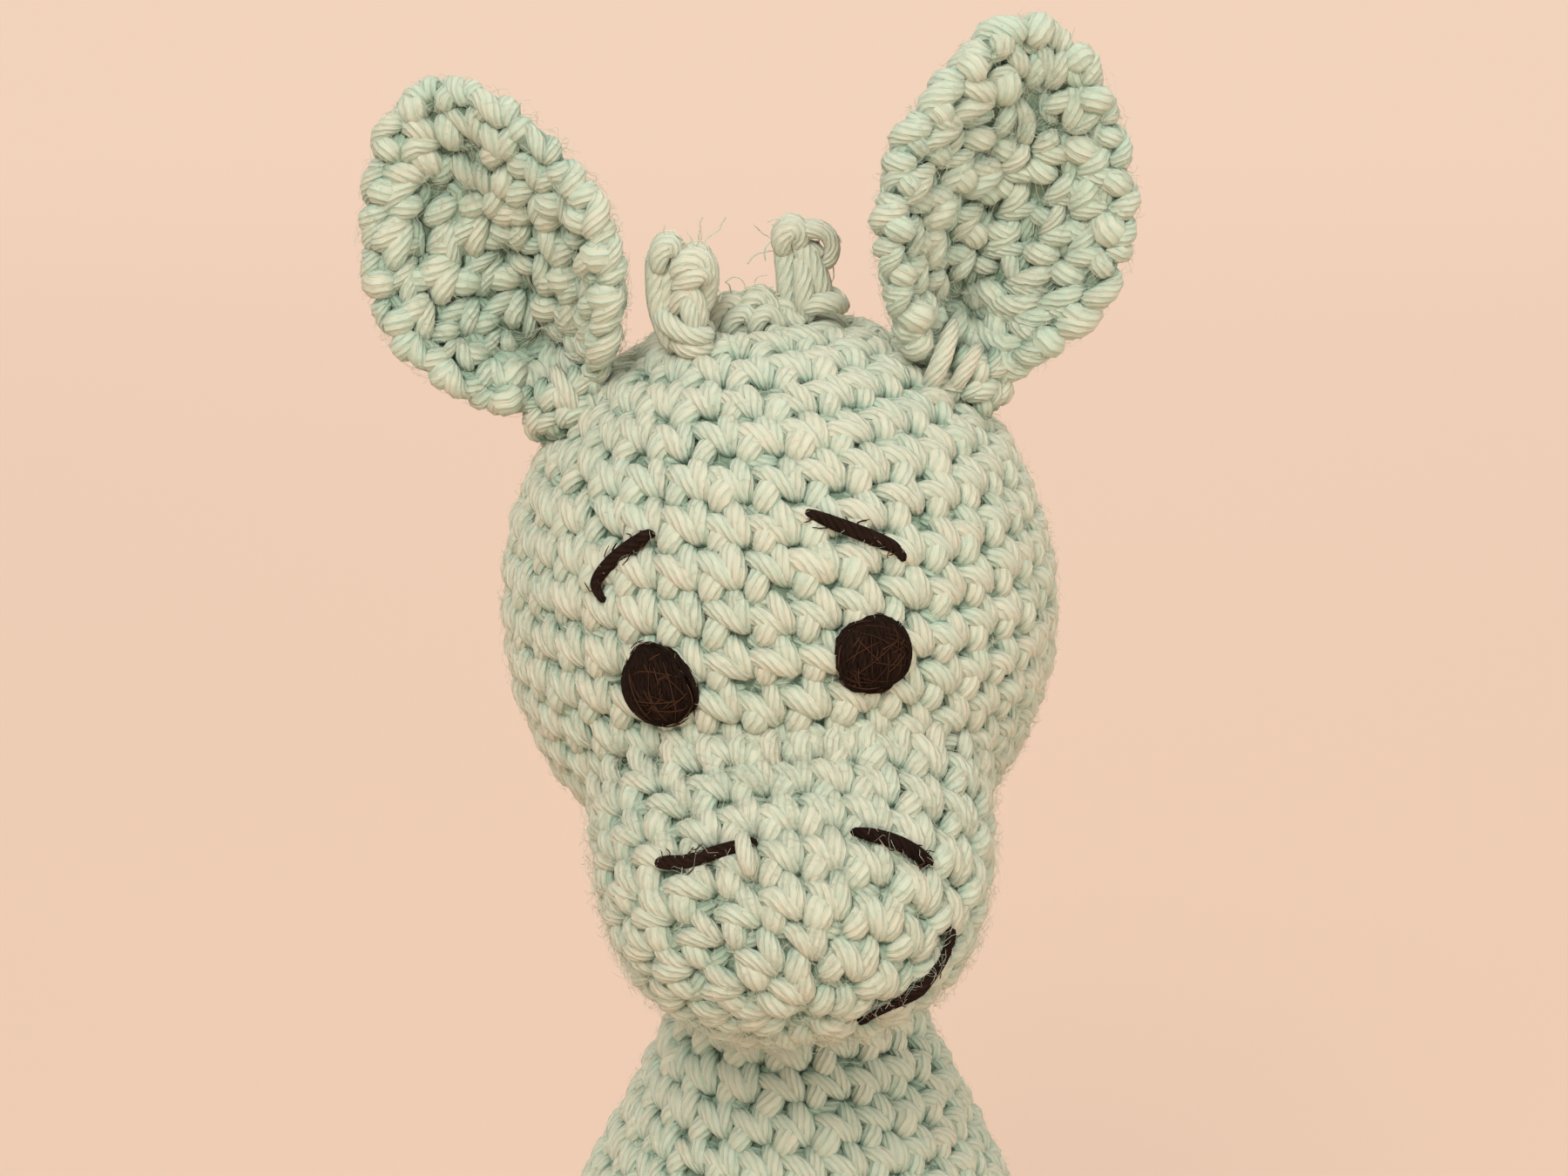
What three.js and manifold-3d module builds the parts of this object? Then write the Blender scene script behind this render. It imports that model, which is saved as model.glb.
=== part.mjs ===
// A seated crocheted giraffe doll: skins of mint cotton fabric round soft filling, with a head,
// muzzle, ears, horns, arms, legs and tail that are sewn on, and a face stitched in black yarn.
// Millimetres, +Z up, the face looks along -Y. The origin is the middle of the flat seat.
import * as THREE from "three";
import { mergeVertices } from "three/addons/utils/BufferGeometryUtils.js";
import Module from "manifold-3d";

const wasm = await Module();
wasm.setup();

// Fabric, yarn and clearances
const fabricThick = 3.4;
const blackYarn = 1.8;
const seamThick = 1.2;
const neckSeamTall = 2.3;
const gap = 0.3;
const seatCut = 0.5;
const overrun = 4;

// Trunk
const trunkTall = 116.5;
const bellyRadius = 42.5;
const seatRadius = 30;
const neckRadius = 10.7;
const neckLean = 0.4;

// Head and muzzle
const headWide = 75;
const headDeep = 74;
const headTall = 80;
const headTiltDegrees = 4;
const muzzleWide = 51;
const muzzleTall = 37.6;
const muzzleLong = 31;
const muzzleRootLong = 14;
const muzzleDroopDegrees = 37;

// Ears and horns
const leftEarLong = 43.5;
const rightEarLong = 45.6;
const leftEarWide = 32;
const rightEarWide = 31.4;
const earThick = 4.2;
const earRootDeep = 7;
const earCurl = 3;
const leftEarLeanDegrees = 19;
const rightEarLeanDegrees = 15.5;
const earTurnDegrees = 14;
const leftHornTall = 16.3;
const rightHornTall = 14;
const hornYarn = 4;
const hornWide = 8.8;

// Face
const eyeWide = 10.6;
const eyeTall = 10.4;
const eyeProud = 2.6;

// Arms
const shoulderHigh = 64;
const armDrop = 57;
const armWide = 19.4;
const armRootWide = 18;
const limbRootThick = 6.6;
const limbSlit = 0.6;

// Legs
const hipHigh = 13;
const legLong = 62;
const legWide = 29.6;
const legRootWide = 25;
const legSplayDegrees = 24;

// Tail
const tailHigh = 50;
const tailDrop = 33;
const tailThick = 4.6;
const tasselLong = 12.5;
const tasselWide = 9;

const radians = THREE.MathUtils.degToRad;
const smoothstep = THREE.MathUtils.smoothstep;
const lerp = THREE.MathUtils.lerp;
const point = (x, y, z) => new THREE.Vector3(x, y, z);

// Shares of each form's own sizes. A pair is a place along the form, then a part of its full size.
const trunkShares = [
  [0.069, 0.894],
  [0.172, 0.988],
  [0.275, 1],
  [0.386, 0.972],
  [0.472, 0.899],
  [0.635, 0.69],
  [0.815, 0.452],
];
const muzzleForwardShare = 0.608;
const muzzleDropShare = 0.55;
const muzzleSquareShare = 0.85;
const muzzleBluntShare = 0.8;
const earWidthShares = [
  [0, 0.27],
  [0.1, 0.52],
  [0.2, 0.74],
  [0.33, 0.93],
  [0.45, 1],
  [0.6, 0.96],
  [0.72, 0.83],
  [0.83, 0.64],
  [0.93, 0.4],
  [1, 0.14],
];
const earRingShares = [-1, 0, 0.08, 0.18, 0.3, 0.43, 0.56, 0.69, 0.8, 0.89, 0.96, 1];
const earAcrossShares = [-1, -0.72, -0.4, 0, 0.4, 0.72, 1];
const earFoldDegrees = [
  [0, 82],
  [0.3, 62],
  [0.6, 42],
  [1, 26],
];
const earRimShare = 0.25;
const earTipShare = 0.55;
const earTaperShare = 4;
const hornTaperShare = 0.12;
const stitchEndShare = 0.5;
const armShares = [
  [0, 0.34],
  [0.1, 0.56],
  [0.22, 0.76],
  [0.42, 0.88],
  [0.62, 0.95],
  [0.8, 1],
];
const legShares = [
  [0, 0.223],
  [0.12, 0.52],
  [0.26, 0.76],
  [0.45, 0.88],
  [0.62, 0.91],
  [0.78, 1],
];
const tasselShares = [
  [0, 0.45],
  [0.12, 0.7],
  [0.25, 0.5],
  [0.6, 0.85],
  [0.9, 1],
  [1, 0.8],
];
const armPathShares = [0.16, 0.34, 0.55, 0.83];
const legPathShares = [0, 0.15, 0.3, 0.45, 0.6, 0.8, 1];
const tailPathShares = [0.4, 0.7, 1];
const roundingDegrees = [22, 45, 68];
const rootThickenShare = 0.12;
const rootBlendShare = 0.3;
const limbFillShare = 0.22;
const leanClearShare = 1.04;
const hipSettleShare = 0.4;
const leanStartShare = 0.6;
const teardropShare = 0.22;
const teardropDegrees = 112;

// Places on the head, as longitude from the face towards +X and latitude, in degrees
const leftEyeDegrees = [-24.1, 0.8];
const rightEyeDegrees = [18.7, 4.4];
const leftBrowDegrees = [
  [-27.3, 28.1],
  [-34.9, 23.1],
  [-39.3, 18.1],
  [-37.1, 15.2],
];
const rightBrowDegrees = [
  [9, 31.3],
  [19.2, 26.6],
  [26.2, 22.8],
  [28.1, 20.4],
];
const leftHornDegrees = [-46, 70.5];
const rightHornDegrees = [73, 80];
const earDegrees = [91, 49];

// Places on the muzzle, as the angle round its axis from +X and the angle off its tip, in degrees
const leftNostrilDegrees = [
  [130, 66],
  [117, 64],
  [98, 66],
];
const rightNostrilDegrees = [
  [74, 68],
  [60, 66],
  [44, 62],
];
const mouthDegrees = [
  [16, 48],
  [10, 42],
  [5, 34],
  [-4, 26],
  [-18, 19],
  [-50, 17],
];

const mint = { color: "#b9d6c4", roughness: 0.95, metalness: 0 };
const black = { color: "#1d1716", roughness: 0.9, metalness: 0 };
const fibre = { color: "#eee9de", roughness: 1, metalness: 0 };

// Closed geometry over rings of equal length, with a point beyond the first and the last ring
function skinOver(rings, startPoint, endPoint) {
  const count = rings[0].length;
  const points = [startPoint, ...rings.flat(), endPoint];
  const at = (ring, step) => 1 + ring * count + (step % count);
  const index = [];
  for (let step = 0; step < count; step++) {
    index.push(0, at(0, step + 1), at(0, step));
    for (let ring = 0; ring + 1 < rings.length; ring++) {
      index.push(at(ring, step), at(ring, step + 1), at(ring + 1, step + 1));
      index.push(at(ring, step), at(ring + 1, step + 1), at(ring + 1, step));
    }
    const last = rings.length - 1;
    index.push(points.length - 1, at(last, step), at(last, step + 1));
  }
  const geometry = new THREE.BufferGeometry().setFromPoints(points);
  geometry.setIndex(index);
  return geometry;
}

// A closed geometry as a solid, placed by a matrix
function solidOf(geometry, matrix) {
  const bare = new THREE.BufferGeometry().setAttribute(
    "position",
    geometry.getAttribute("position").clone(),
  );
  bare.setIndex(geometry.getIndex());
  if (matrix) bare.applyMatrix4(matrix);
  const merged = mergeVertices(bare);
  const triVerts = new Uint32Array(merged.index.array);
  const vertProperties = merged.attributes.position.array;
  const solid = new wasm.Manifold(new wasm.Mesh({ numProp: 3, vertProperties, triVerts }));
  if (solid.volume() >= 0) return solid;
  triVerts.reverse();
  return new wasm.Manifold(new wasm.Mesh({ numProp: 3, vertProperties, triVerts }));
}

// Rounds a value towards a square for shares under 1
const squared = (value, share) => Math.sign(value) * Math.abs(value) ** share;

// A closed loop of points round +Z
function ringAt(count, halfX, halfY, height, squareShare = 1) {
  return Array.from({ length: count }, (_, step) => {
    const angle = (2 * Math.PI * step) / count;
    const x = halfX * squared(Math.cos(angle), squareShare);
    return point(x, halfY * squared(Math.sin(angle), squareShare), height);
  });
}

// A stuffed bulb round +Z: its half sizes, and how far it reaches up and down
function bulb({ halfX, halfY, up, down, around, rounds, squareShare = 1, bluntShare = 1 }) {
  const rings = [];
  for (let round = 1; round < rounds; round++) {
    const polar = Math.PI * (1 - round / rounds);
    const across = squared(Math.sin(polar), bluntShare);
    const along = squared(Math.cos(polar), bluntShare) * (polar < Math.PI / 2 ? up : down);
    rings.push(ringAt(around, halfX * across, halfY * across, along, squareShare));
  }
  return skinOver(rings, point(0, 0, -down), point(0, 0, up));
}

// A smooth curve through pairs, read as the value at a place
function curveThrough(pairs) {
  const spline = new THREE.SplineCurve(pairs.map(([place, value]) => new THREE.Vector2(place, value)));
  const samples = spline.getPoints(pairs.length * 12);
  return (place) => {
    const next = samples.findIndex((sample) => sample.x >= place);
    if (next <= 0) return next < 0 ? samples.at(-1).y : samples[0].y;
    const [a, b] = [samples[next - 1], samples[next]];
    return lerp(a.y, b.y, (place - a.x) / (b.x - a.x || 1));
  };
}

// A tube along a curve whose radius may change from its start, 0, to its end, 1
function tubeAlong(curve, radiusAt, around, steps) {
  const frames = curve.computeFrenetFrames(steps);
  const rings = [];
  for (let step = 0; step <= steps; step++) {
    const centre = curve.getPointAt(step / steps);
    const radius = radiusAt(step / steps);
    const [normal, binormal] = [frames.normals[step], frames.binormals[step]];
    const place = (p) => centre.clone().addScaledVector(normal, p.x).addScaledVector(binormal, p.y);
    rings.push(ringAt(around, radius, radius, 0).map(place));
  }
  const start = curve.getPointAt(0).addScaledVector(frames.tangents[0], -radiusAt(0) / 2);
  const end = curve.getPointAt(1).addScaledVector(frames.tangents[steps], radiusAt(1) / 2);
  return skinOver(rings, start, end);
}

const smoothCurve = (points) => new THREE.CatmullRomCurve3(points, false, "centripetal");

// The scene: the head group hangs on the neck's middle, each sewn-on piece on its own hinge
const doll = new THREE.Group();

function groupIn(parent, position, turn = new THREE.Euler()) {
  const group = new THREE.Group();
  group.position.copy(position);
  group.rotation.copy(turn);
  parent.add(group);
  group.updateWorldMatrix(true, false);
  return group;
}

// Adds a solid, made in the doll's frame, to a group as a named mesh
function addPiece(group, name, solid, finish) {
  const { numProp, vertProperties, triVerts } = solid.getMesh();
  const vertices = new THREE.BufferAttribute(new Float32Array(vertProperties), numProp);
  const geometry = new THREE.BufferGeometry().setAttribute("position", vertices);
  geometry.setIndex(new THREE.BufferAttribute(new Uint32Array(triVerts), 1));
  geometry.applyMatrix4(group.matrixWorld.clone().invert());
  const flat = geometry.toNonIndexed();
  flat.computeVertexNormals();
  const mesh = new THREE.Mesh(flat, new THREE.MeshStandardMaterial(finish));
  mesh.name = name;
  group.add(mesh);
}

// A block from one height up to another, wide enough to cut anything on the doll
function slabBetween(low, high, matrix) {
  const reach = trunkTall + headTall + rightEarLong;
  return solidOf(new THREE.BoxGeometry(reach, reach, high - low).translate(0, 0, (low + high) / 2), matrix);
}

// Trunk
const trunkProfile = new THREE.SplineCurve([
  new THREE.Vector2(seatRadius, 0),
  ...trunkShares.map(([high, wide]) => new THREE.Vector2(wide * bellyRadius, high * trunkTall)),
  new THREE.Vector2(neckRadius, trunkTall),
]);
const trunkRadius = curveThrough(trunkProfile.getPoints(120).map((p) => [p.y, p.x]));
const leanAt = (height) => neckLean * smoothstep(height, leanStartShare * trunkTall, trunkTall);

// The trunk's form, grown or shrunk by a clearance; an open one runs on past the neck
function trunkForm(grow, around, rounds, open = false) {
  const rings = [];
  for (let round = 0; round <= rounds; round++) {
    const place = trunkProfile.getPoint(round / rounds);
    const along = trunkProfile.getTangent(round / rounds);
    const height = Math.min(Math.max(place.y - along.x * grow, -grow), trunkTall);
    const radius = place.x + along.y * grow;
    const lean = leanAt(height);
    rings.push(ringAt(around, radius, radius, height).map((p) => p.setX(p.x + lean)));
  }
  if (open) rings.push(rings.at(-1).map((p) => p.clone().setZ(trunkTall + overrun)));
  return solidOf(skinOver(rings, point(0, 0, rings[0][0].z), point(neckLean, 0, rings.at(-1)[0].z)));
}

const trunk = groupIn(doll, point(0, 0, 0));
const trunkSkin = trunkForm(0, 28, 14).subtract(trunkForm(-fabricThick, 18, 9, true));
addPiece(trunk, "trunk_shell", trunkSkin, mint);
const wadBottom = trunkTall - fabricThick;
const trunkFill = trunkForm(-fabricThick - gap, 18, 9);
addPiece(trunk, "trunk_filling", trunkFill.subtract(slabBetween(wadBottom, trunkTall + overrun)), fibre);

// Head: a ball cut flat at the neck, tilted about the neck's middle
const headHalf = point(headWide / 2, headDeep / 2, headTall / 2);
const neckMiddle = point(neckLean, 0, trunkTall + gap + neckSeamTall / 2);
const head = groupIn(doll, neckMiddle, new THREE.Euler(0, -radians(headTiltDegrees), 0));
const headBase = neckSeamTall / 2 + gap;
const neckCutDepth = headHalf.z * Math.sqrt(1 - (neckRadius / headHalf.x) ** 2);
const headCentre = point(0, 0, headBase + neckCutDepth);
const headMatrix = head.matrixWorld.clone().multiply(new THREE.Matrix4().makeTranslation(headCentre));

function headForm(grow, around = 28, rounds = 16) {
  const halfX = headHalf.x + grow;
  const tall = headHalf.z + grow;
  const form = bulb({ halfX, halfY: headHalf.y + grow, up: tall, down: tall, around, rounds });
  return solidOf(form, headMatrix);
}

// A point over the head's surface, in the head group's frame
function onHead([longitude, latitude], proud = 0) {
  const [lon, lat] = [radians(longitude), radians(latitude)];
  return point(
    (headHalf.x + proud) * Math.cos(lat) * Math.sin(lon),
    -(headHalf.y + proud) * Math.cos(lat) * Math.cos(lon),
    (headHalf.z + proud) * Math.sin(lat),
  ).add(headCentre);
}

// The way out of the head at a place on it
function outOfHead([longitude, latitude]) {
  const p = onHead([longitude, latitude]).sub(headCentre);
  return point(p.x / headHalf.x ** 2, p.y / headHalf.y ** 2, p.z / headHalf.z ** 2).normalize();
}

// An upright round plug from one height up to another
function plugBetween(radius, low, high, matrix) {
  const plug = new THREE.CylinderGeometry(radius, radius, high - low, 24).rotateX(Math.PI / 2);
  return solidOf(plug.translate(0, 0, (low + high) / 2), matrix);
}

const belowHead = slabBetween(headBase - headTall, headBase, head.matrixWorld);
const headHole = plugBetween(neckRadius - fabricThick, 0, headBase + neckCutDepth, head.matrixWorld);
const headSkin = headForm(0).subtract(headForm(-fabricThick, 18, 10)).subtract(belowHead).subtract(headHole);
const headFill = headForm(-fabricThick - gap, 18, 10);
addPiece(head, "head_shell", headSkin, mint);
addPiece(head, "head_filling", headFill, fibre);

// Neck: a ring of sewing between the trunk's rim and the head, round a firm wad of filling
const neck = groupIn(doll, neckMiddle);
const seamMiddle = neckRadius - fabricThick / 2;
const neckRing = new THREE.LatheGeometry(
  Array.from({ length: 11 }, (_, step) => {
    const angle = (2 * Math.PI * (step % 10)) / 10;
    return new THREE.Vector2(
      seamMiddle + (fabricThick / 2) * Math.cos(angle),
      (neckSeamTall + gap) * Math.sin(angle),
    );
  }),
  24,
).rotateX(Math.PI / 2);
const aboveSeam = slabBetween(headBase - gap, headBase + headTall, head.matrixWorld);
const belowSeam = slabBetween(-trunkTall, -neckSeamTall / 2, neck.matrixWorld);
const neckSeam = solidOf(neckRing, neck.matrixWorld).subtract(aboveSeam).subtract(belowSeam);
addPiece(neck, "neck_seam", neckSeam, mint);
const wadRadius = neckRadius - fabricThick - 2 * gap;
const wadLow = wadBottom + gap - neckMiddle.z;
const wad = plugBetween(wadRadius, wadLow, headBase + fabricThick + gap, neck.matrixWorld);
addPiece(neck, "neck_wad", wad.subtract(headForm(-fabricThick, 18, 10)), fibre);

// Splits a piece that runs into a body: the piece itself, and the band of sewing under it
function sewnOn(solid, bodyForm) {
  const band = solid.intersect(bodyForm(gap + seamThick)).subtract(bodyForm(gap));
  return { piece: solid.subtract(bodyForm(2 * gap + seamThick)), seam: band };
}

// Muzzle: a wide blunt cup on the lower front of the head, its axis drooping
const muzzleAcross = point(1, 0, 0);
const droop = radians(muzzleDroopDegrees);
const muzzleAxis = point(0, -Math.cos(droop), -Math.sin(droop));
const muzzleUp = point(0, -Math.sin(droop), Math.cos(droop));
const muzzleForward = muzzleForwardShare * headHalf.y;
const muzzleCentre = point(0, -muzzleForward, -muzzleDropShare * headHalf.z).add(headCentre);
const muzzle = groupIn(head, muzzleCentre);
const muzzleFrame = new THREE.Matrix4().makeBasis(muzzleAcross, muzzleUp, muzzleAxis);
const muzzleMatrix = muzzle.matrixWorld.clone().multiply(muzzleFrame);

function muzzleForm(grow, around = 24, rounds = 12) {
  const form = bulb({
    halfX: muzzleWide / 2 + grow,
    halfY: muzzleTall / 2 + grow,
    up: muzzleLong + grow,
    down: muzzleRootLong + grow,
    around,
    rounds,
    squareShare: muzzleSquareShare,
    bluntShare: muzzleBluntShare,
  });
  return solidOf(form, muzzleMatrix);
}

// A point over the muzzle's surface, in the muzzle group's frame
function onMuzzle([angleDegrees, offTipDegrees], proud) {
  const [angle, polar] = [radians(angleDegrees), radians(offTipDegrees)];
  const across = squared(Math.sin(polar), muzzleBluntShare);
  return point(
    (muzzleWide / 2 + proud) * squared(Math.cos(angle), muzzleSquareShare) * across,
    (muzzleTall / 2 + proud) * squared(Math.sin(angle), muzzleSquareShare) * across,
    (muzzleLong + proud) * squared(Math.cos(polar), muzzleBluntShare),
  ).applyMatrix4(muzzleFrame);
}

const muzzleCup = sewnOn(muzzleForm(0).subtract(muzzleForm(-fabricThick, 18, 9)), headForm);
addPiece(muzzle, "muzzle_shell", muzzleCup.piece, mint);
addPiece(muzzle, "muzzle_seam", muzzleCup.seam, mint);
addPiece(muzzle, "muzzle_filling", muzzleForm(-fabricThick - gap, 18, 9).subtract(headForm(gap)), fibre);

// Stitched yarn that lies on a surface, in the frame of the group that carries it
function stitchLine(group, name, places, onSurface) {
  const path = smoothCurve(places.map((place) => onSurface(place, gap + blackYarn / 2)));
  const radiusAt = (along) => (blackYarn / 2) * (along === 0 || along === 1 ? stitchEndShare : 1);
  addPiece(group, name, solidOf(tubeAlong(path, radiusAt, 6, 8), group.matrixWorld), black);
}

stitchLine(head, "left_eyebrow", leftBrowDegrees, onHead);
stitchLine(head, "right_eyebrow", rightBrowDegrees, onHead);
stitchLine(muzzle, "left_nostril", leftNostrilDegrees, onMuzzle);
stitchLine(muzzle, "right_nostril", rightNostrilDegrees, onMuzzle);
stitchLine(muzzle, "mouth", mouthDegrees, onMuzzle);

// Eyes: padded satin stitch, a low dome on the head; a teardrop one has a point up and outwards
function addEye(name, place, dropShare) {
  const out = outOfHead(place);
  const sideways = point(0, 0, 1).cross(out).normalize();
  const matrix = new THREE.Matrix4().makeBasis(sideways, out.clone().cross(sideways), out);
  const group = groupIn(head, onHead(place));
  const halves = { halfX: eyeWide / 2, halfY: eyeTall / 2, up: eyeProud, down: overrun };
  const form = bulb({ ...halves, around: 18, rounds: 8 });
  const corners = form.getAttribute("position");
  const pointAngle = radians(teardropDegrees);
  for (let i = 0; i < corners.count; i++) {
    const angle = Math.atan2(corners.getY(i), corners.getX(i));
    const grow = 1 + dropShare * Math.max(0, Math.cos(angle - pointAngle)) ** 6;
    corners.setXY(i, corners.getX(i) * grow, corners.getY(i) * grow);
  }
  const dome = solidOf(form, group.matrixWorld.clone().multiply(matrix));
  addPiece(group, name, dome.subtract(headForm(gap)), black);
}

addEye("left_eye", leftEyeDegrees, teardropShare);
addEye("right_eye", rightEyeDegrees, 0);

// Ears: cupped leaves whose foot is folded tight round the cup's fold line
const earWidthAt = curveThrough(earWidthShares);
const earFoldAt = curveThrough(earFoldDegrees.map(([along, fold]) => [along, radians(fold)]));

function earRing(along, long, wide) {
  const place = Math.max(along, 0);
  const fold = earFoldAt(place);
  const radius = ((wide / 2) * earWidthAt(place)) / Math.sin(fold);
  const thick = earThick * Math.min(1, earTipShare + (1 - place) * earTaperShare);
  const height = along < 0 ? along * earRootDeep : along * long;
  const at = (share, side) => {
    const angle = share * fold;
    const half = (thick / 2) * (1 + earRimShare * share ** 2) * side;
    const y = -radius * (1 - Math.cos(angle)) + half * Math.cos(angle);
    return point(radius * Math.sin(angle) + half * Math.sin(angle), y - earCurl * place ** 2, height);
  };
  const rim = (share) => {
    const tangent = point(Math.cos(fold), -Math.sin(fold) * share, 0);
    return at(share, 0).addScaledVector(tangent, share * (thick / 2));
  };
  const back = earAcrossShares.map((share) => at(share, 1));
  const front = earAcrossShares.map((share) => at(share, -1)).reverse();
  return [...back, rim(1), ...front, rim(-1)];
}

function addEar(name, side, long, wide, leanDegrees) {
  const place = [side * earDegrees[0], earDegrees[1]];
  const turn = new THREE.Euler(0, side * radians(leanDegrees), side * radians(earTurnDegrees), "YXZ");
  const group = groupIn(head, onHead(place, gap + seamThick / 2), turn);
  const rings = earRingShares.map((along) => earRing(along, long, wide));
  const middle = (ring) => ring.reduce((sum, p) => sum.add(p), point(0, 0, 0)).divideScalar(ring.length);
  const leaf = skinOver(rings, middle(rings[0]), middle(rings.at(-1)));
  const { piece, seam } = sewnOn(solidOf(leaf, group.matrixWorld), headForm);
  addPiece(group, `${name}_ear`, piece, mint);
  addPiece(group, `${name}_ear_seam`, seam, mint);
}

addEar("left", -1, leftEarLong, leftEarWide, leftEarLeanDegrees);
addEar("right", 1, rightEarLong, rightEarWide, rightEarLeanDegrees);

// Horns: short chains of thick yarn. The left one is folded over, the right one ends in an open loop.
function addHorn(name, place, tall, strands) {
  const group = groupIn(head, onHead(place));
  const solids = strands.map((strand) => {
    const path = smoothCurve(strand.map(([x, y, z]) => point(x * hornWide, y * hornWide, z * tall)));
    const radiusAt = (along) => (hornYarn / 2) * (1 - hornTaperShare * along);
    return solidOf(tubeAlong(path, radiusAt, 8, 9), group.matrixWorld);
  });
  const joined = solids.reduce((sum, solid) => sum.add(solid));
  addPiece(group, name, joined.subtract(headForm(gap)), mint);
}

const leftHornShares = [
  [
    [0.12, 0, -0.2],
    [-0.1, 0, 0.15],
    [-0.27, 0, 0.45],
    [-0.27, 0, 0.72],
    [-0.12, 0, 0.86],
  ],
  [
    [0.16, 0, -0.2],
    [0.16, 0, 0.2],
    [0.22, 0, 0.55],
    [0.14, 0, 0.8],
    [-0.08, 0, 0.86],
  ],
];
const rightHornShares = [
  [
    [-0.2, 0, -0.2],
    [-0.16, 0, 0.2],
    [-0.1, 0, 0.55],
    [-0.14, 0, 0.84],
  ],
  [
    [0.26, 0, -0.2],
    [0.2, 0, 0.2],
    [0.06, 0, 0.55],
    [-0.06, 0, 0.82],
    [0.12, 0.02, 0.9],
    [0.34, 0.06, 0.84],
    [0.42, 0.1, 0.68],
    [0.34, 0.12, 0.55],
  ],
];
addHorn("left_horn", leftHornDegrees, leftHornTall, leftHornShares);
addHorn("right_horn", rightHornDegrees, rightHornTall, rightHornShares);

// A stuffed limb lies in an upright plane through the trunk's middle line. Its path is given there as
// distances out and heights, and its width is across that plane. Its sizes may be grown or shrunk.
function ringOnLimb(limb, centre, along, halfWide, halfThick) {
  return ringAt(limb.around, halfWide, halfThick, 0).map((p) =>
    point(centre.x - along.y * p.y, p.x, centre.y + along.x * p.y),
  );
}

// Rings down a limb from a share of its path to its round tip, no thinner than the least half size
function ringsDown(limb, from, grow, least = 0) {
  const rings = [];
  for (let round = 0; round <= limb.rounds; round++) {
    const place = lerp(from, 1, round / limb.rounds);
    const halfWide = Math.max(limb.halfWideAt(place) + grow, least);
    const halfThick = Math.max(limb.halfThickAt(place) + grow, least);
    rings.push(ringOnLimb(limb, limb.path.getPoint(place), limb.path.getTangent(place), halfWide, halfThick));
  }
  const [end, along] = [limb.path.getPoint(1), limb.path.getTangent(1)];
  for (const angle of roundingDegrees.map(radians)) {
    const centre = end.clone().addScaledVector(along, (limb.tipLong + grow) * Math.sin(angle));
    const shrink = Math.cos(angle);
    const [halfWide, halfThick] = [limb.halfWideAt(1) + grow, limb.halfThickAt(1) + grow];
    rings.push(ringOnLimb(limb, centre, along, halfWide * shrink, halfThick * shrink));
  }
  return rings;
}

function tipOf(limb, grow) {
  const tip = limb.path.getPoint(1).addScaledVector(limb.path.getTangent(1), limb.tipLong + grow);
  return point(tip.x, 0, tip.y);
}

// The outer form: the root is pressed flat and its edge is round about the hinge
function limbOuter(limb, grow = 0) {
  const [start, along] = [limb.path.getPoint(0), limb.path.getTangent(0)];
  const [halfWide, halfThick] = [limb.halfWideAt(0) + grow, limb.halfThickAt(0) + grow];
  const edge = roundingDegrees.toReversed().map((degrees) => {
    const angle = radians(degrees);
    const centre = start.clone().addScaledVector(along, -halfThick * Math.sin(angle));
    const narrower = (halfThick / 2) * (1 - Math.cos(angle));
    return ringOnLimb(limb, centre, along, halfWide - narrower, halfThick * Math.cos(angle));
  });
  const root = start.clone().addScaledVector(along, -halfThick);
  return skinOver([...edge, ...ringsDown(limb, 0, grow)], point(root.x, 0, root.y), tipOf(limb, grow));
}

// The hollow inside, open at the root as a slit between the two layers that are sewn down together
function limbHollow(limb) {
  const [start, along] = [limb.path.getPoint(0), limb.path.getTangent(0)];
  const root = start.clone().addScaledVector(along, -limb.halfThickAt(0) - overrun);
  const slit = ringOnLimb(limb, root, along, limb.halfWideAt(0) - fabricThick, limbSlit / 2);
  const rings = [slit, ...ringsDown(limb, 0, -fabricThick, limbSlit / 2)];
  return skinOver(rings, point(root.x, 0, root.y), tipOf(limb, -fabricThick));
}

function limbFill(limb) {
  const start = limb.path.getPoint(limb.fillShare);
  const grow = -fabricThick - 2 * gap;
  return skinOver(ringsDown(limb, limb.fillShare, grow), point(start.x, 0, start.y), tipOf(limb, grow));
}

// Sewing between the trunk and a root edge that is round about its hinge, in the hinge's own frame
function addRootSeam(group, name, limb, limbMatrix) {
  const [halfThick, halfWide] = [limb.halfThickAt(0), limb.halfWideAt(0)];
  const depth = halfThick + 3 * gap + seamThick;
  const lens = bulb({ halfX: depth, halfY: halfWide, up: halfThick, down: halfThick, around: 14, rounds: 6 });
  const edgeLong = 2 * halfWide + overrun;
  const edge = new THREE.CylinderGeometry(halfThick + gap, halfThick + gap, edgeLong, 20);
  const beyond = new THREE.BoxGeometry(2 * depth, edgeLong, 2 * depth).translate(depth, 0, 0);
  const cutters = [solidOf(edge, group.matrixWorld), solidOf(beyond, group.matrixWorld)];
  cutters.push(besideTrunk, solidOf(limbOuter(limb, gap), limbMatrix));
  const seam = cutters.reduce((rest, cutter) => rest.subtract(cutter), solidOf(lens, group.matrixWorld));
  addPiece(group, name, seam, mint);
}

const besideTrunk = trunkForm(gap, 28, 14);
const underFloor = slabBetween(-trunkTall, 0);

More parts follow.
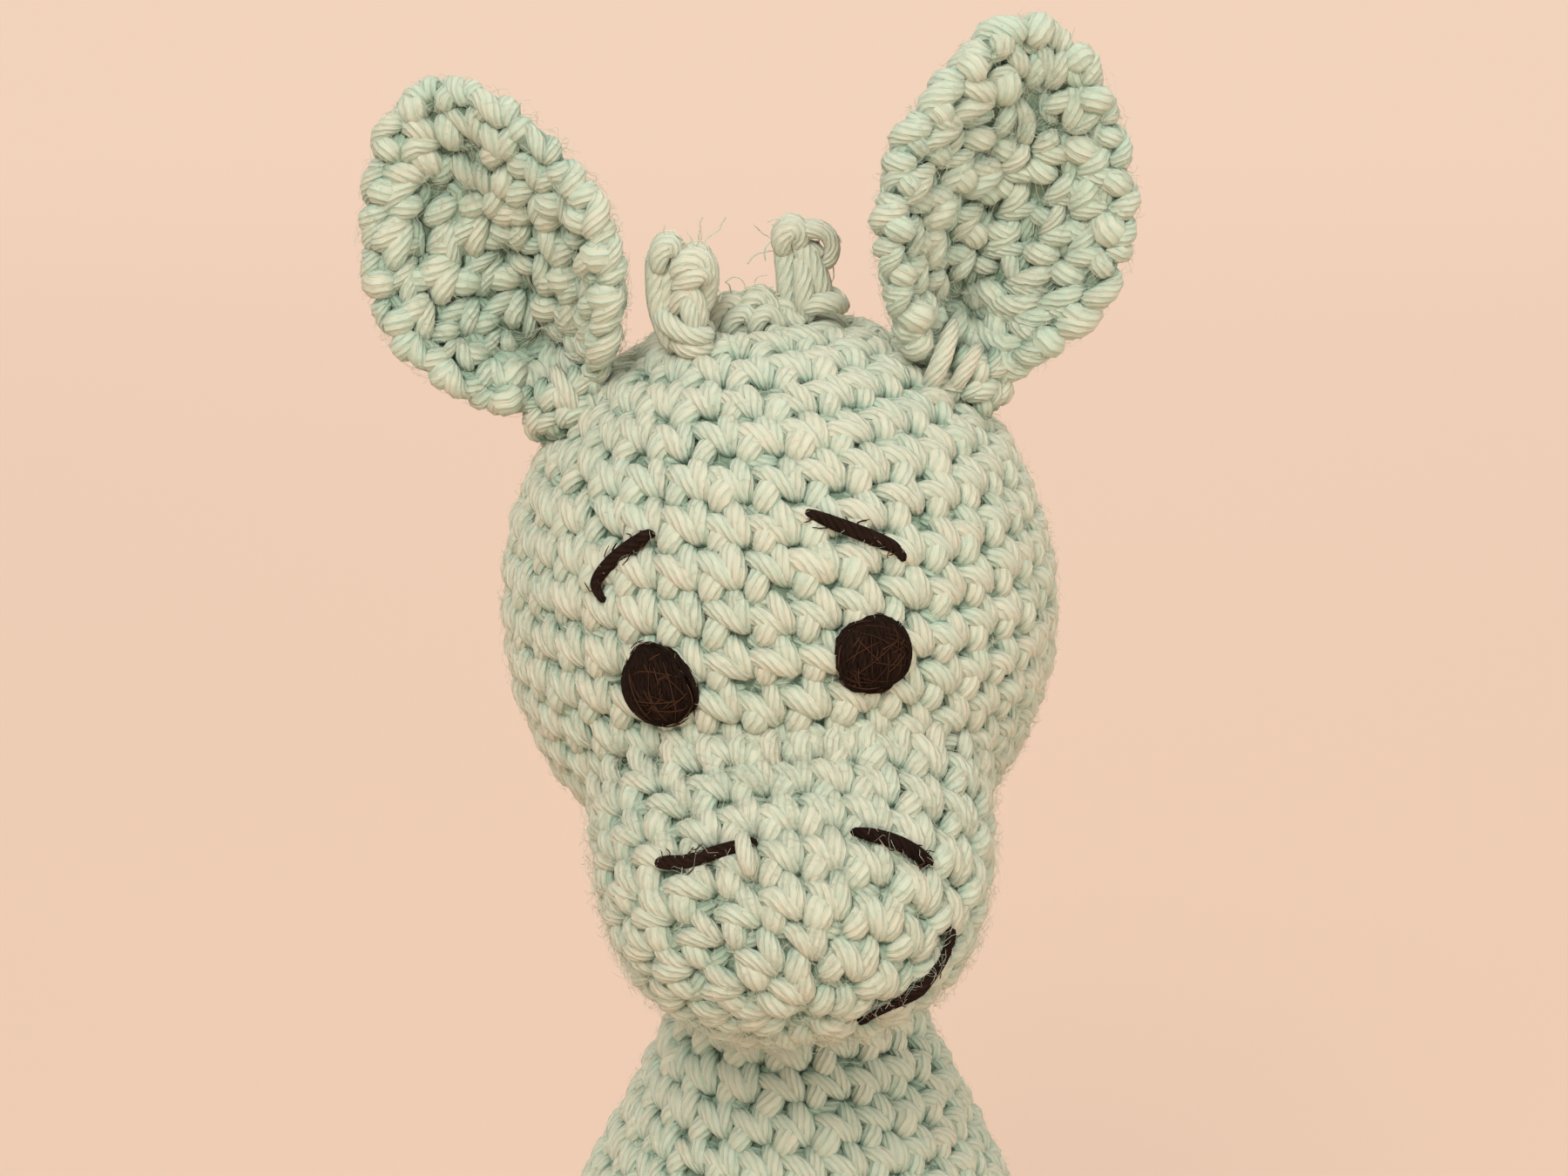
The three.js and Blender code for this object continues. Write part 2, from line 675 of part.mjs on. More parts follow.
// Adds a limb at a turn about the trunk: its skin, its filling and the sewing at its root
function addLimb(name, turn, limb) {
  const upright = groupIn(trunk, point(0, 0, 0), new THREE.Euler(0, 0, turn));
  const hinge = limb.path.getPoint(0);
  const group = groupIn(upright, point(hinge.x, 0, hinge.y));
  const placed = (geometry) => solidOf(geometry, upright.matrixWorld);
  const form = placed(limbOuter(limb)).subtract(besideTrunk).subtract(underFloor);
  if (limb.fillShare === undefined) {
    addPiece(group, `${name}_cord`, form, mint);
  } else {
    addPiece(group, `${name}_shell`, form.subtract(placed(limbHollow(limb))), mint);
    addPiece(group, `${name}_filling`, placed(limbFill(limb)), fibre);
  }
  addRootSeam(group, `${name}_seam`, limb, upright.matrixWorld);
  return group;
}

// How far out a root edge of a given half thickness is hinged
const hingeOut = (high, rootHalfThick) => trunkRadius(high) + 2 * gap + seamThick + rootHalfThick;

// A path that starts at a hinge and hangs against the trunk, then straight down past its widest part
function hangingPath(high, drop, shares, halfAt) {
  const path = new THREE.SplineCurve([new THREE.Vector2(hingeOut(high, halfAt(0)), high)]);
  for (const share of shares) {
    const height = high - share * drop;
    const beside = trunkRadius(height) + gap + halfAt(share) * leanClearShare;
    path.points.push(new THREE.Vector2(Math.max(beside, path.points.at(-1).x), height));
  }
  return path;
}

// Arms
const limbRootHalf = limbRootThick / 2;
const armHalfAt = curveThrough(armShares.map(([along, wide]) => [along, (wide * armWide) / 2]));
const armFlat = (along) => lerp(armRootWide / 2, armHalfAt(along), smoothstep(along, 0, rootBlendShare));
const armBeside = (along) => (along ? armHalfAt(along) : limbRootHalf);
const arm = {
  path: hangingPath(shoulderHigh, armDrop, armPathShares, armBeside),
  halfThickAt: (along) => lerp(limbRootHalf, armHalfAt(along), smoothstep(along, 0, rootThickenShare)),
  halfWideAt: (along) => Math.max(armHalfAt(along), armFlat(along)),
  tipLong: armWide / 2,
  fillShare: limbFillShare,
  around: 14,
  rounds: 8,
};
addLimb("left_arm", Math.PI, arm);
addLimb("right_arm", 0, arm);

// Legs lie forward on the floor, pressed flat where they rest on it
const legHalfAt = curveThrough(legShares.map(([along, wide]) => [along, (wide * legWide) / 2]));
const legFlat = (along) => lerp(legRootWide / 2, legHalfAt(along), smoothstep(along, 0, rootBlendShare));
const legReach = legLong - legWide / 2;
const leg = {
  path: new THREE.SplineCurve(
    legPathShares.map((along) => {
      const lying = legHalfAt(along) - seatCut;
      const high = lerp(hipHigh, lying, smoothstep(along, 0, hipSettleShare));
      return new THREE.Vector2(hingeOut(hipHigh, limbRootHalf) + along * legReach, high);
    }),
  ),
  halfThickAt: (along) => lerp(limbRootHalf, legHalfAt(along), smoothstep(along, 0, rootThickenShare)),
  halfWideAt: (along) => Math.max(legHalfAt(along), legFlat(along)),
  tipLong: legWide / 2,
  fillShare: limbFillShare,
  around: 14,
  rounds: 8,
};
const forwards = -Math.PI / 2;
addLimb("left_leg", forwards - radians(legSplayDegrees), leg);
addLimb("right_leg", forwards + radians(legSplayDegrees), leg);

// Tail: a short cord down the back, with a tassel bound to its end
const tail = {
  path: hangingPath(tailHigh, tailDrop, tailPathShares, () => tailThick / 2),
  halfThickAt: () => tailThick / 2,
  halfWideAt: () => tailThick / 2,
  tipLong: tailThick / 2,
  around: 8,
  rounds: 5,
};
const tailGroup = addLimb("tail", Math.PI / 2, tail);
const tailEnd = tail.path.getPoint(1).sub(tail.path.getPoint(0));
const tasselHalf = tasselWide / 2;
const tasselRings = tasselShares.map(([down, wide]) =>
  ringAt(14, wide * tasselHalf, wide * tasselHalf, -down * tasselLong),
);
const tassel = skinOver(tasselRings.reverse(), point(0, 0, -tasselLong), point(0, 0, 0));
const tasselTop = new THREE.Matrix4().makeTranslation(tailEnd.x, 0, tailEnd.y - tailThick / 2 - gap);
const tasselSolid = solidOf(tassel, tailGroup.matrixWorld.clone().multiply(tasselTop));
addPiece(tailGroup, "tail_tassel", tasselSolid.subtract(besideTrunk), mint);

export default doll;
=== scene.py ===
"""A seated crocheted giraffe doll.

Stuffed pads carry rounds of cotton stitches, and the face, ears, horns, seams and tail are laid in yarn.
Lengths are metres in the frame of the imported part, and the tables of sizes are millimetres.
"""
import math

import bpy
import numpy as np
from mathutils import Matrix, Vector
from mathutils.bvhtree import BVHTree
from mathutils.kdtree import KDTree


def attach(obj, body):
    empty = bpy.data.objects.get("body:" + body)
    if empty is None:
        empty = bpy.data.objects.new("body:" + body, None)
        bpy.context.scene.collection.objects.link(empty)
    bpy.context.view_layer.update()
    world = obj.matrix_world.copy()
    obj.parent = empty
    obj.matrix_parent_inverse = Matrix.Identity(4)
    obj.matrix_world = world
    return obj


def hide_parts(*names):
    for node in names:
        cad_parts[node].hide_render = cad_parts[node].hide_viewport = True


bl_info = {
    "name": "Crocheted giraffe doll",
    "version": (1, 0, 0),
    "blender": (4, 5, 0),
    "location": "3D View > Sidebar > Doll",
    "description": "Lays crochet stitches, seams and a stitched face over the packed doll",
    "category": "Object",
}

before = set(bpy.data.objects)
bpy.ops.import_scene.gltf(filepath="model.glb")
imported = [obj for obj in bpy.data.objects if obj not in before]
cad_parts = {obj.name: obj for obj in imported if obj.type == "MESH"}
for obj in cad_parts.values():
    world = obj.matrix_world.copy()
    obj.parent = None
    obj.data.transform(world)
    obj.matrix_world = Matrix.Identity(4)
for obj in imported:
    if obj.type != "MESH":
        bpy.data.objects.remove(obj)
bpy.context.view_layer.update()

MM = 0.001
UP = Vector((0, 0, 1))
BACK = Vector((0, 1, 0))

# Places of the neck, head and muzzle, from the part. The muzzle's half sizes are millimetres
NECK_LEAN = 0.4
NECK_LEANS_FROM, NECK_LEANS_TO = 69.9, 116.5
TRUNK_MIDDLE, TRUNK_TOP = 38, 116
NECK = Vector((NECK_LEAN, 0, 117.95)) * MM
HEAD = Matrix.Translation(NECK) @ Matrix.Rotation(math.radians(-4), 4, "Y")
HEAD_TURN = HEAD.to_3x3()
HEAD_CENTRE = Vector((0, 0, 39.787)) * MM
HEAD_HALF = Vector((37.5, 37, 40)) * MM
MUZZLE_CENTRE = HEAD_CENTRE + Vector((0, -22.496, -22)) * MM
MUZZLE_DROOP = math.radians(37)
MUZZLE_AHEAD = Vector((0, -math.cos(MUZZLE_DROOP), -math.sin(MUZZLE_DROOP)))
MUZZLE_UP = Vector((0, -math.sin(MUZZLE_DROOP), math.cos(MUZZLE_DROOP)))
MUZZLE_HALF = (25.5, 18.8, 31)
MUZZLE_SQUARE = 0.85
MUZZLE_BLUNT = 0.8

# Middle lines of the limbs in their own upright planes: distance out and height, millimetres
ARM_LINE = [
    (39.21, 64), (41.3, 61.06), (44.14, 56.92), (46.48, 52.93), (48.52, 48.9), (50.16, 44.62),
    (51.25, 40.15), (51.92, 35.33), (52.28, 29.46), (52.24, 22.12), (52.15, 16.69),
]
LEG_LINE = [
    (45.3, 13), (49.21, 12.03), (53.8, 11.36), (58.05, 11.46), (62.29, 11.91), (66.54, 12.52),
    (70.62, 12.69), (75.36, 13.12), (81.14, 14.09), (87.29, 14.4), (92.5, 14.3),
]
LEG_TURN = 24

# A stitch as four strands: two legs that lean together, the bump beside them and the strand under it.
# Each row is widths across, rows up, height over the pad and radius (mm)
STITCH = {
    "left_leg": [
        (-0.95, 0.46, -0.3, 0.9), (-0.70, 0.44, 0.85, 1.38), (-0.40, 0.28, 1.15, 1.55),
        (-0.12, 0.06, 0.9, 1.35), (0.07, -0.14, -0.4, 0.9),
    ],
    "right_leg": [
        (-0.26, 0.90, -0.5, 0.9), (-0.19, 0.68, 0.6, 1.32), (-0.07, 0.38, 1.0, 1.48),
        (0.04, 0.10, 0.75, 1.28), (0.10, -0.16, -0.5, 0.85),
    ],
    "bump": [
        (0.47, 0.42, -0.6, 1.05), (0.48, 0.21, 0.5, 1.62), (0.45, -0.02, 0.8, 1.8),
        (0.41, -0.24, 0.45, 1.62), (0.38, -0.42, -0.6, 1.05),
    ],
    "under": [
        (0.02, -0.30, -0.7, 0.9), (0.2, -0.36, -0.15, 1.25), (0.5, -0.4, -0.05, 1.3),
        (0.8, -0.36, -0.15, 1.25), (0.98, -0.30, -0.7, 0.9),
    ],
}

# How much stitches vary: the lean, shift and size of each, and the shift, radius and height of its strands
STITCH_LEANS, STITCH_SHIFTS, STITCH_SIZES = 0.09, 0.045, 0.05
STRAND_SHIFTS, STRAND_RADII, STRAND_HEIGHTS = 0.02, 0.06, 0.1
# How far each round starts past the last one, in stitches
TURN_DRIFT = 0.37

# A pad: how far it lies under the solid's skin, how much smaller it starts, and how it swells
PAD_DEEP = 1.3
MUZZLE_PAD_DEEP = 0.2
PAD_SLACK = 0.6
PAD_PRESSURE = 4
PAD_FRAMES = 20

# A short strand for a gap between stitches: along, height over the pad and radius (mm)
FILLER = [(-2.5, -0.6, 0.9), (-1.4, 0.5, 1.2), (0, 0.8, 1.3), (1.4, 0.5, 1.2), (2.5, -0.6, 0.9)]
FILLER_TURNS, FILLER_RADII = 0.6, 0.08
FILL_AREA = 0.7
FILL_HOLE = 1.1
FILL_APART = 2.1
FILL_FROM, FILL_REACH = 3.6, 4.6

# Strands: how far their ends are drawn in, where their ends and sides lie on the unit square of the UV map,
# how many a mesh holds before it is shared out, and the height over the pad above which a strand has none of
# the painted shade and all of the painted light
STRAND_END = 0.6
UV_END, UV_END_RADIUS, UV_SIDE, UV_TUBE = 0.05, 0.04, 0.03, 0.12
MOST_STRANDS = 1800
FULL_LIGHT = 2.1
STRAND_STARTS = 60

# Yarn: how much fibres, patches and tone make it paler; how much height over the pad makes it paler, painted
# light on the tops, and how much grooves make it less pale; how much depth and grooves make it darker, painted
# shade deep between the stitches and between the plies; and how much fibres make it darker, which makes that
# shade uneven
FIBRE_PALE, PATCH_PALE, TONE_PALE, DEPTH_LIGHT, GROOVE_LIGHT, EVEN_PALE = 0.75, 0.6, 0.25, 0.8, 0.3, 0.8
DEPTH_SHADE, EVEN_SHADE, GROOVE_SHADE, FIBRE_DARK = 0.9, 0.19, 0.36, 0.45
FIBRE_STRETCH = (4.6, 4.6, 0.5)
PLY_BUMP, FIBRE_BUMP, BUMP_DEEP = 0.9, 1.0, 0.0003

# Colours of the pads under the stitches, darker than the yarn as painted shade in the gaps, and how each piece's
# yarn differs: how far it is lifted out of the yarn's painted shade, a painted light, and its tone, partly its own
# and partly a painted cast of the light, greener on the ears and warmer on the muzzle
PAD_SHADE, PAD_BODY = (0.17, 0.25, 0.18), (0.43, 0.53, 0.415)
BODY_TONE = (0.0, -0.4)
TONES = {
    "head": (0.12, -0.15), "muzzle": (0.1, -0.1), "left_ear": (0.0, -0.6), "right_ear": (0.24, -0.85),
}

# Ears: width and fold (degrees) along the leaf, as in the part
EAR_WIDTHS = [
    (0, 0.27), (0.1, 0.52), (0.2, 0.74), (0.33, 0.93), (0.45, 1), (0.6, 0.96),
    (0.72, 0.83), (0.83, 0.64), (0.93, 0.4), (1, 0.14),
]
EAR_FOLDS = [(0, 82), (0.3, 62), (0.6, 42), (1, 26)]
EAR_PLACE = (91, 49)
EARS = {
    "left_ear": {"side": -1, "long": 43.5, "wide": 32, "lean": 19},
    "right_ear": {"side": 1, "long": 45.6, "wide": 31.4, "lean": 15.5},
}
EAR_SEEDS = {"left_ear": 61, "right_ear": 67}
EAR_TURN = 14
EAR_CURL = 3
# The crease's depth and width, and the core under the stitches: how far it stays inside the rim, the share
# of the length that its spine takes, its depth from rim to spine and half its thickness (mm)
EAR_CREASE = (2.6, 4.5)
EAR_INSET = 1.1
EAR_SPINE = (0.22, 0.7)
EAR_DEEP = 17
EAR_HALF = 0.9
# The rounds of stitches, by their distance from the rim towards the front or the back
EAR_ROUNDS = (-17.6, -12.2, -6.8, -1.2, 4.6, 10.2, 15.8)

# The folded foot of an ear as heights and half sizes, the rounds of stitches on it as distance and phase,
# and the strands that tie it down, in the ear's own millimetres
EAR_FOOT_Y = -2.2
EAR_COLLAR = [(-4.6, 5.6, 5.0), (-1.5, 5.2, 4.7), (1.5, 4.9, 4.3), (4.5, 4.6, 3.8)]
EAR_COLLAR_ROUNDS = [(2.2, 0), (5.0, 0.4)]
EAR_TIES = {
    "left_ear": [
        [(1.4, -5.4, -3.4, 0.9), (2.2, -7.4, -0.8, 1.15), (2.0, -7.4, 2.2, 1.2), (1.0, -5.8, 5.0, 0.9)],
    ],
    "right_ear": [
        [(-4.9, -4.6, -3.8, 1.0), (-5.2, -7.6, -1.2, 1.3), (-4.5, -8.0, 2.8, 1.4), (-3.2, -5.6, 7.0, 1.1)],
        [(-1.8, -5.6, -2.8, 0.9), (-1.7, -8.0, -0.4, 1.15), (-0.8, -8.0, 2.2, 1.15), (0.6, -6.2, 4.4, 0.9)],
    ],
}

# Face: longitude and latitude on the head, or angle and angle off the tip on the muzzle, degrees,
# and the fullness of the yarn along each line
LINE_LIFT = 2.2
LINE_RADIUS = 0.95
BROWS = {
    "left_eyebrow": (
        [(-27.3, 28.1), (-34.9, 23.1), (-39.3, 18.1), (-37.1, 15.2)],
        (0.4, 0.95, 1, 0.95, 0.8, 0.6, 0.45)),
    "right_eyebrow": (
        [(9, 31.3), (19.2, 26.6), (26.2, 22.8), (28.1, 20.4)],
        (0.3, 0.85, 1, 1, 0.9, 0.75, 0.5)),
}
MUZZLE_LINES = {
    "left_nostril": ([(129, 66), (117, 64), (98, 66)], (0.6, 1, 0.95, 0.9, 0.5)),
    "right_nostril": ([(74, 67.4), (61, 65.6), (47, 62)], (0.5, 0.9, 1, 1, 0.6)),
    "mouth": (
        [(19.8, 47.6), (15.5, 44), (11, 39), (9, 32.5), (6, 26), (5, 20), (3, 15), (-4, 11.8)],
        (0.35, 0.7, 0.7, 0.8, 1.2, 0.65, 0.55, 0.5, 0.6)),
}
# The strand over the left nostril: also its height over the pad and its radius (mm)
NOSTRIL_LEG = [(101, 69, 1.2, 0.8), (100, 66, 3.2, 1.05), (99.6, 61, 3.3, 1.1), (99.6, 56.5, 1.6, 0.8)]
EYES = {
    "left_eye": {"place": (-24.3, -0.3), "grain": -62, "drop": 0.19, "stray": 0.3, "seed": 71},
    "right_eye": {"place": (18.8, 3.9), "grain": 100, "drop": 0.04, "stray": 0.9, "seed": 73},
}
EYE_HALF = (5.05, 5.0, 2.7)
EYE_BASE = 1.3
EYE_POINT = math.radians(112)
FACE_PALE = (0.04, 0.023, 0.016)

# Satin stitches of an eye, layer by layer: size, turn of the grain, strands, their radius (mm) and scatter.
# The last layer has no turn here: its eye gives it, as stray
EYE_LAYERS = [(0.86, math.radians(70), 10, 0.62, 0.0), (1, 0, 17, 0.44, 0.02), (1.015, None, 7, 0.3, 0.1)]

# Loose fibres of the eyes, the face's lines and the horns: colour, how many, and their radius (mm)
EYE_FIBRE = (0.038, 0.019, 0.0115)
EYE_FIBRES, EYE_FIBRE_RADIUS = 44, 0.017
LINE_FIBRES, LINE_FIBRE_RADIUS = 10, 0.012
HORN_FIBRES, HORN_FIBRE_RADII = 26, (0.014, 0.026)
# Where a horn's fibre starts: across, forward and the share of the horn's height. Then its step (mm)
HORN_FIBRE_STARTS, HORN_FIBRE_STEP = ((-3.2, 2.6), (-1.5, 1.5), (0.5, 1.0)), (0.25, 0.75)

# Loose fibres on each skin: how many, and how long against the usual
FUZZ = {
    "head": (7400, 1), "muzzle": (6000, 1.3), "trunk": (5800, 1), "left_ear": (3000, 1), "right_ear": (3100, 1),
    "left_arm": (1100, 1), "right_arm": (1100, 1), "left_leg": (1350, 1), "right_leg": (1350, 1),
}
# A fibre's steps: how many, how they turn, their length (a quarter of the fibres are longer by FUZZ_LONG),
# the height over the pad where it starts, its rise with each, the droop of its end, and its radius (mm)
FUZZ_STEPS, FUZZ_TURNS, FUZZ_STEP, FUZZ_LONG = 5, 0.75, (0.3, 0.75), 1.9
FUZZ_BASE, FUZZ_RISE, FUZZ_DROOP, FUZZ_RADII = 1.5, (0.02, 0.5), 0.4, (0.015, 0.032)

# Horns: strands in their own upright frame, millimetres: across, forward, up, radius
HORN_FULL = 1.12
HORNS = {
    "left_horn": {"place": (-46, 70.5), "seed": 79, "strands": [
        [(-2.2, 0, 0.2, 1.2), (-3.6, 0, 5.2, 1.3), (-3.7, 0, 9.4, 1.35), (-3.3, 0, 12.6, 1.3), (-2.0, 0, 13.6, 0.9)],
        [(-1.9, -0.2, 2.0, 1.2), (-2.2, -0.1, 6.0, 1.5), (-1.8, 0, 9.8, 1.5), (-1.0, 0, 12.0, 1.1)],
        [(-3.4, 0.8, 10.6, 0.9), (-2.9, 1.2, 13.2, 1.35), (-1.6, 1.3, 14.3, 1.3), (-0.8, 1.2, 12.6, 0.9)],
        [(-1.3, 1.0, 9.6, 0.9), (0.0, 1.7, 11.6, 1.65), (1.9, 1.3, 11.9, 1.7),
         (2.7, 0.6, 9.8, 1.55), (2.3, -0.2, 7.2, 1.4), (1.4, -0.6, 4.6, 1.0)],
        [(-1.6, 1.2, 8.4, 0.8), (0.4, 2.2, 9.8, 1.3), (2.2, 1.9, 10.3, 1.25), (2.9, 1.0, 8.9, 0.8)],
        [(-1.7, 0.6, 5.0, 0.9), (-0.9, 1.5, 7.2, 1.15), (0.3, 1.8, 8.1, 1.15),
         (1.3, 1.7, 6.4, 1.15), (1.7, 1.4, 3.2, 0.9)],
        [(0.2, 1.8, 7.6, 0.8), (0.3, 2.3, 5.6, 1.15), (0.9, 2.0, 2.8, 0.9)],
        [(-3.6, -1.0, 6.0, 0.9), (-3.0, 1.2, 4.6, 1.25), (-1.2, 2.2, 3.2, 1.3),
         (1.2, 2.2, 2.4, 1.3), (2.9, 0.6, 2.3, 0.9)],
        [(-2.2, 0.4, 1.6, 0.9), (-0.6, 1.9, 0.8, 1.2), (1.3, 1.8, 0.6, 1.2), (2.6, 0.2, 0.6, 0.9)],
    ]},
    "right_horn": {"place": (73, 80), "seed": 83, "strands": [
        [(-0.9, 0, -0.6, 1.2), (-1.9, 0.2, 3.4, 1.4), (-2.0, 0.2, 6.4, 1.35),
         (-2.1, 0, 8.9, 1.3), (-1.8, 0, 10.6, 0.9)],
        [(0.3, 1.1, -0.2, 0.9), (0.0, 1.6, 3.2, 1.25), (0.1, 1.4, 5.8, 1.25), (-0.3, 0.7, 8.6, 0.9)],
        [(2.6, 0, 0.9, 1.0), (2.2, 0.5, 4.2, 1.4), (1.4, 0.7, 7.0, 1.4), (0.4, 0.5, 9.0, 1.35), (-0.6, 0, 10.8, 0.9)],
        [(-2.2, 0.5, 8.6, 0.9), (-2.3, 0.9, 11.0, 1.4), (-1.1, 1.0, 12.4, 1.4),
         (0.0, 0.9, 11.4, 1.3), (-0.4, 0.6, 9.2, 0.9)],
        [(-0.8, 0.6, 11.4, 0.8), (1.2, 1.0, 11.9, 1.0), (3.2, 0.8, 11.4, 0.95),
         (4.1, 0.5, 9.7, 0.95), (3.7, 0.2, 7.9, 0.95), (2.6, 0, 6.8, 0.8)],
        [(0.3, 0.2, 9.6, 0.8), (1.5, 0.2, 9.2, 0.95), (2.6, 0, 8.2, 0.8)],
        [(0.0, 1.9, 1.4, 0.9), (1.8, 2.1, 2.4, 1.25), (3.9, 1.4, 2.2, 1.25), (5.2, -0.4, 1.0, 0.9)],
        [(-2.8, 0.3, 2.0, 0.9), (-1.9, 1.7, 0.6, 1.1), (-0.2, 1.9, -0.4, 0.9)],
    ]},
    "crown": {"place": (-20, 86), "seed": 87, "strands": [
        [(-4.6, 0.5, -1.8, 1.0), (-4.5, 0.8, 0.8, 1.2), (-3.0, 0.8, 2.5, 1.25),
         (-1.3, 0.7, 2.0, 1.15), (-0.4, 0.8, 0, 0.9)],
        [(-1.6, 0.6, -0.4, 0.9), (-0.7, 0.8, 2.1, 1.2), (1.0, 0.8, 3.1, 1.25),
         (2.6, 0.8, 2.0, 1.2), (3.6, 1.2, -0.4, 1.0)],
        [(-3.4, 1.8, -1.6, 0.9), (-2.5, 2.0, 0.6, 1.15), (-0.6, 1.9, 1.4, 1.15), (0.8, 2.2, -0.7, 0.9)],
        [(0.2, 2.2, -1.6, 0.9), (0.9, 2.4, 0.6, 1.15), (2.5, 2.0, 1.1, 1.1), (4.2, 1.8, -0.9, 0.9)],
        [(1.9, 0.2, -0.6, 0.9), (3.4, 0.3, 1.4, 1.1), (5.2, 0.2, 1.6, 1.1), (6.4, 0, -0.2, 0.9)],
    ]},
}

# Whip stitches: place across the seam, height and fullness along one, against its reach and radius
WHIP = [(-1, -0.75, 0.7), (-0.62, 0.35, 1), (0, 0.75, 1.1), (0.62, 0.35, 1), (1, -0.75, 0.7)]
WHIP_RADII = 0.06
# Those that go round a skin: how many, their reach, their radius and how proud they stand (mm),
# and how far from a limb's root and how far over the head they are laid
SKIN_WHIPS = {"arm": (12, 2.6, 1.1, 0.7), "leg": (14, 3.1, 1.3, 0.7), "muzzle": (30, 2.9, 1.25, 0.9)}
LIMB_SEAM_IN, MUZZLE_SEAM_OVER = 2.6, 1.8
# Those of the neck and the tail: how many, how far from the middle, their reach and their radius (mm)
NECK_WHIPS, NECK_WHIPS_OUT, NECK_WHIP_REACH, NECK_WHIP_RADIUS = 22, 9.9, 3.2, 1.35
TAIL_WHIPS, TAIL_WHIPS_OUT, TAIL_WHIP_REACH, TAIL_WHIP_RADIUS = 9, 3.1, 2.3, 1.05
# The neck's core: its radius and the heights of its rounds (mm)
NECK_CORE_RADIUS, NECK_CORE_HEIGHTS = 8.6, (-5, -2, 0, 2, 5)

# Tail: a twisted cord down the back, distance out and height, and a bound tassel (mm)
TAIL_LINE = [
    (40.2, 51.2), (42.6, 50.2), (44.0, 47.4), (44.5, 43.0), (44.8, 38), (45.0, 31.6),
    (45.1, 25.9), (45.1, 19.2), (45.1, 16.0),
]
TAIL_STRANDS, TAIL_TWISTS, TAIL_SPREAD, TAIL_RADIUS = 3, 2.6, 1.15, 1.25
TAIL_ROOT = (41.4, 50.0)
TASSEL_TOP = 14.9
TASSEL_LONG = 12.5
TASSEL_STRANDS, TASSEL_SPREAD, TASSEL_RADIUS = 26, 3.0, 0.62
# A tassel strand down to its tip: how wide against the spread, and height. Then the turns that bind it:
# how many, the half sizes of one, how far down the first is, the step to the next, its drop and its radius
TASSEL_ROWS = [(0.2, 0.6), (0.9, -1.0), (0.75, -3.2), (1.0, -7), (1.25, -10.5)]
TIE_TURNS, TIE_HALF, TIE_DOWN, TIE_STEP, TIE_DROP, TIE_RADIUS = 3, (2.7, 2.1), 2.2, 0.75, 0.11, 0.55

# Stage, in metres: the floor, its curve and the wall, then the light from all round. The paper is painted
# paler far back than near, a painted gradient of light (by GRADE for each metre, less GRADE_FROM), has a faint
# grain, and shines mostly by itself, wholly so some way past EDGE_FROM. The lamps have a name, place, size,
# power and colour, and face one point. The camera looks down at an angle, from a distance, with a shift
FLOOR_SIZE, FLOOR_PLACE, CURVE_STEPS, CURVE_RADIUS, WALL_TALL = 8, (0, -3.0, 0), 12, 0.5, 2
WORLD_LIGHT = (1.0, 0.93, 0.86)
WORLD_STRENGTH = 0.62
NEAR_PAPER, FAR_PAPER, GRAIN_PAPER, GRAIN = 0.94, 1.065, 0.97, 0.3
GRADE, GRADE_FROM = 1.1, 0.25
EDGE_FROM, EDGE = 1.7, 1.2
GLOW, GLOW_MORE = 0.7, 0.2
LAMPS = [
    ("key", (-0.29, -0.77, 0.95), 0.55, 9.3, (1.0, 0.955, 0.885)),
    ("fill", (0.8, -0.6, 0.5), 0.8, 3.9, (1.0, 0.92, 0.84)),
    ("rim", (0.1, 0.55, 0.9), 0.7, 3.0, (1.0, 0.93, 0.86)),
]
LAMPS_TARGET = (0, 0, 0.14)
CAMERA_LIFT = math.radians(17)
CAMERA_AWAY = 480 * MM
CAMERA_SHIFT = (5 / 1800, 15 / 1800)


# Sizes and colours a user would change

class DollYarn(bpy.types.PropertyGroup):
    stitch_wide: bpy.props.FloatProperty(
        name="Stitch width", description="Width of one stitch on the head and body",
        default=5.75 * MM, unit="LENGTH")
    stitch_tall: bpy.props.FloatProperty(
        name="Row height", description="Height of one round of stitches",
        default=5.6 * MM, unit="LENGTH")
    fullness: bpy.props.FloatProperty(
        name="Fullness", description="How much the filling swells each pad at most",
        default=0.8 * MM, unit="LENGTH")
    mint: bpy.props.FloatVectorProperty(
        name="Mint", description="Colour of the cotton", subtype="COLOR",
        default=(0.44, 0.595, 0.488), min=0, max=1)
    cream: bpy.props.FloatVectorProperty(
        name="Pale fibre", description="Colour of the pale fibres on top of the cotton", subtype="COLOR",
        default=(0.65, 0.603, 0.482), min=0, max=1)
    # Crevice: painted shade, the colour the yarn is darkened to deep between the stitches and in its grooves
    crevice_shade: bpy.props.FloatVectorProperty(
        name="Crevice", description="Colour deep between the stitches", subtype="COLOR",
        default=(0.135, 0.235, 0.158), min=0, max=1)
    black: bpy.props.FloatVectorProperty(
        name="Face yarn", description="Colour of the yarn of the face", subtype="COLOR",
        default=(0.006, 0.0028, 0.002), min=0, max=1)


class DollStage(bpy.types.PropertyGroup):
    backdrop: bpy.props.FloatVectorProperty(
        name="Backdrop", description="Colour of the floor and backdrop", subtype="COLOR",
        default=(0.845, 0.625, 0.485), min=0, max=1)
    lens: bpy.props.FloatProperty(
        name="Lens", description="Focal length of the camera in millimetres", default=82)


# Shader maths

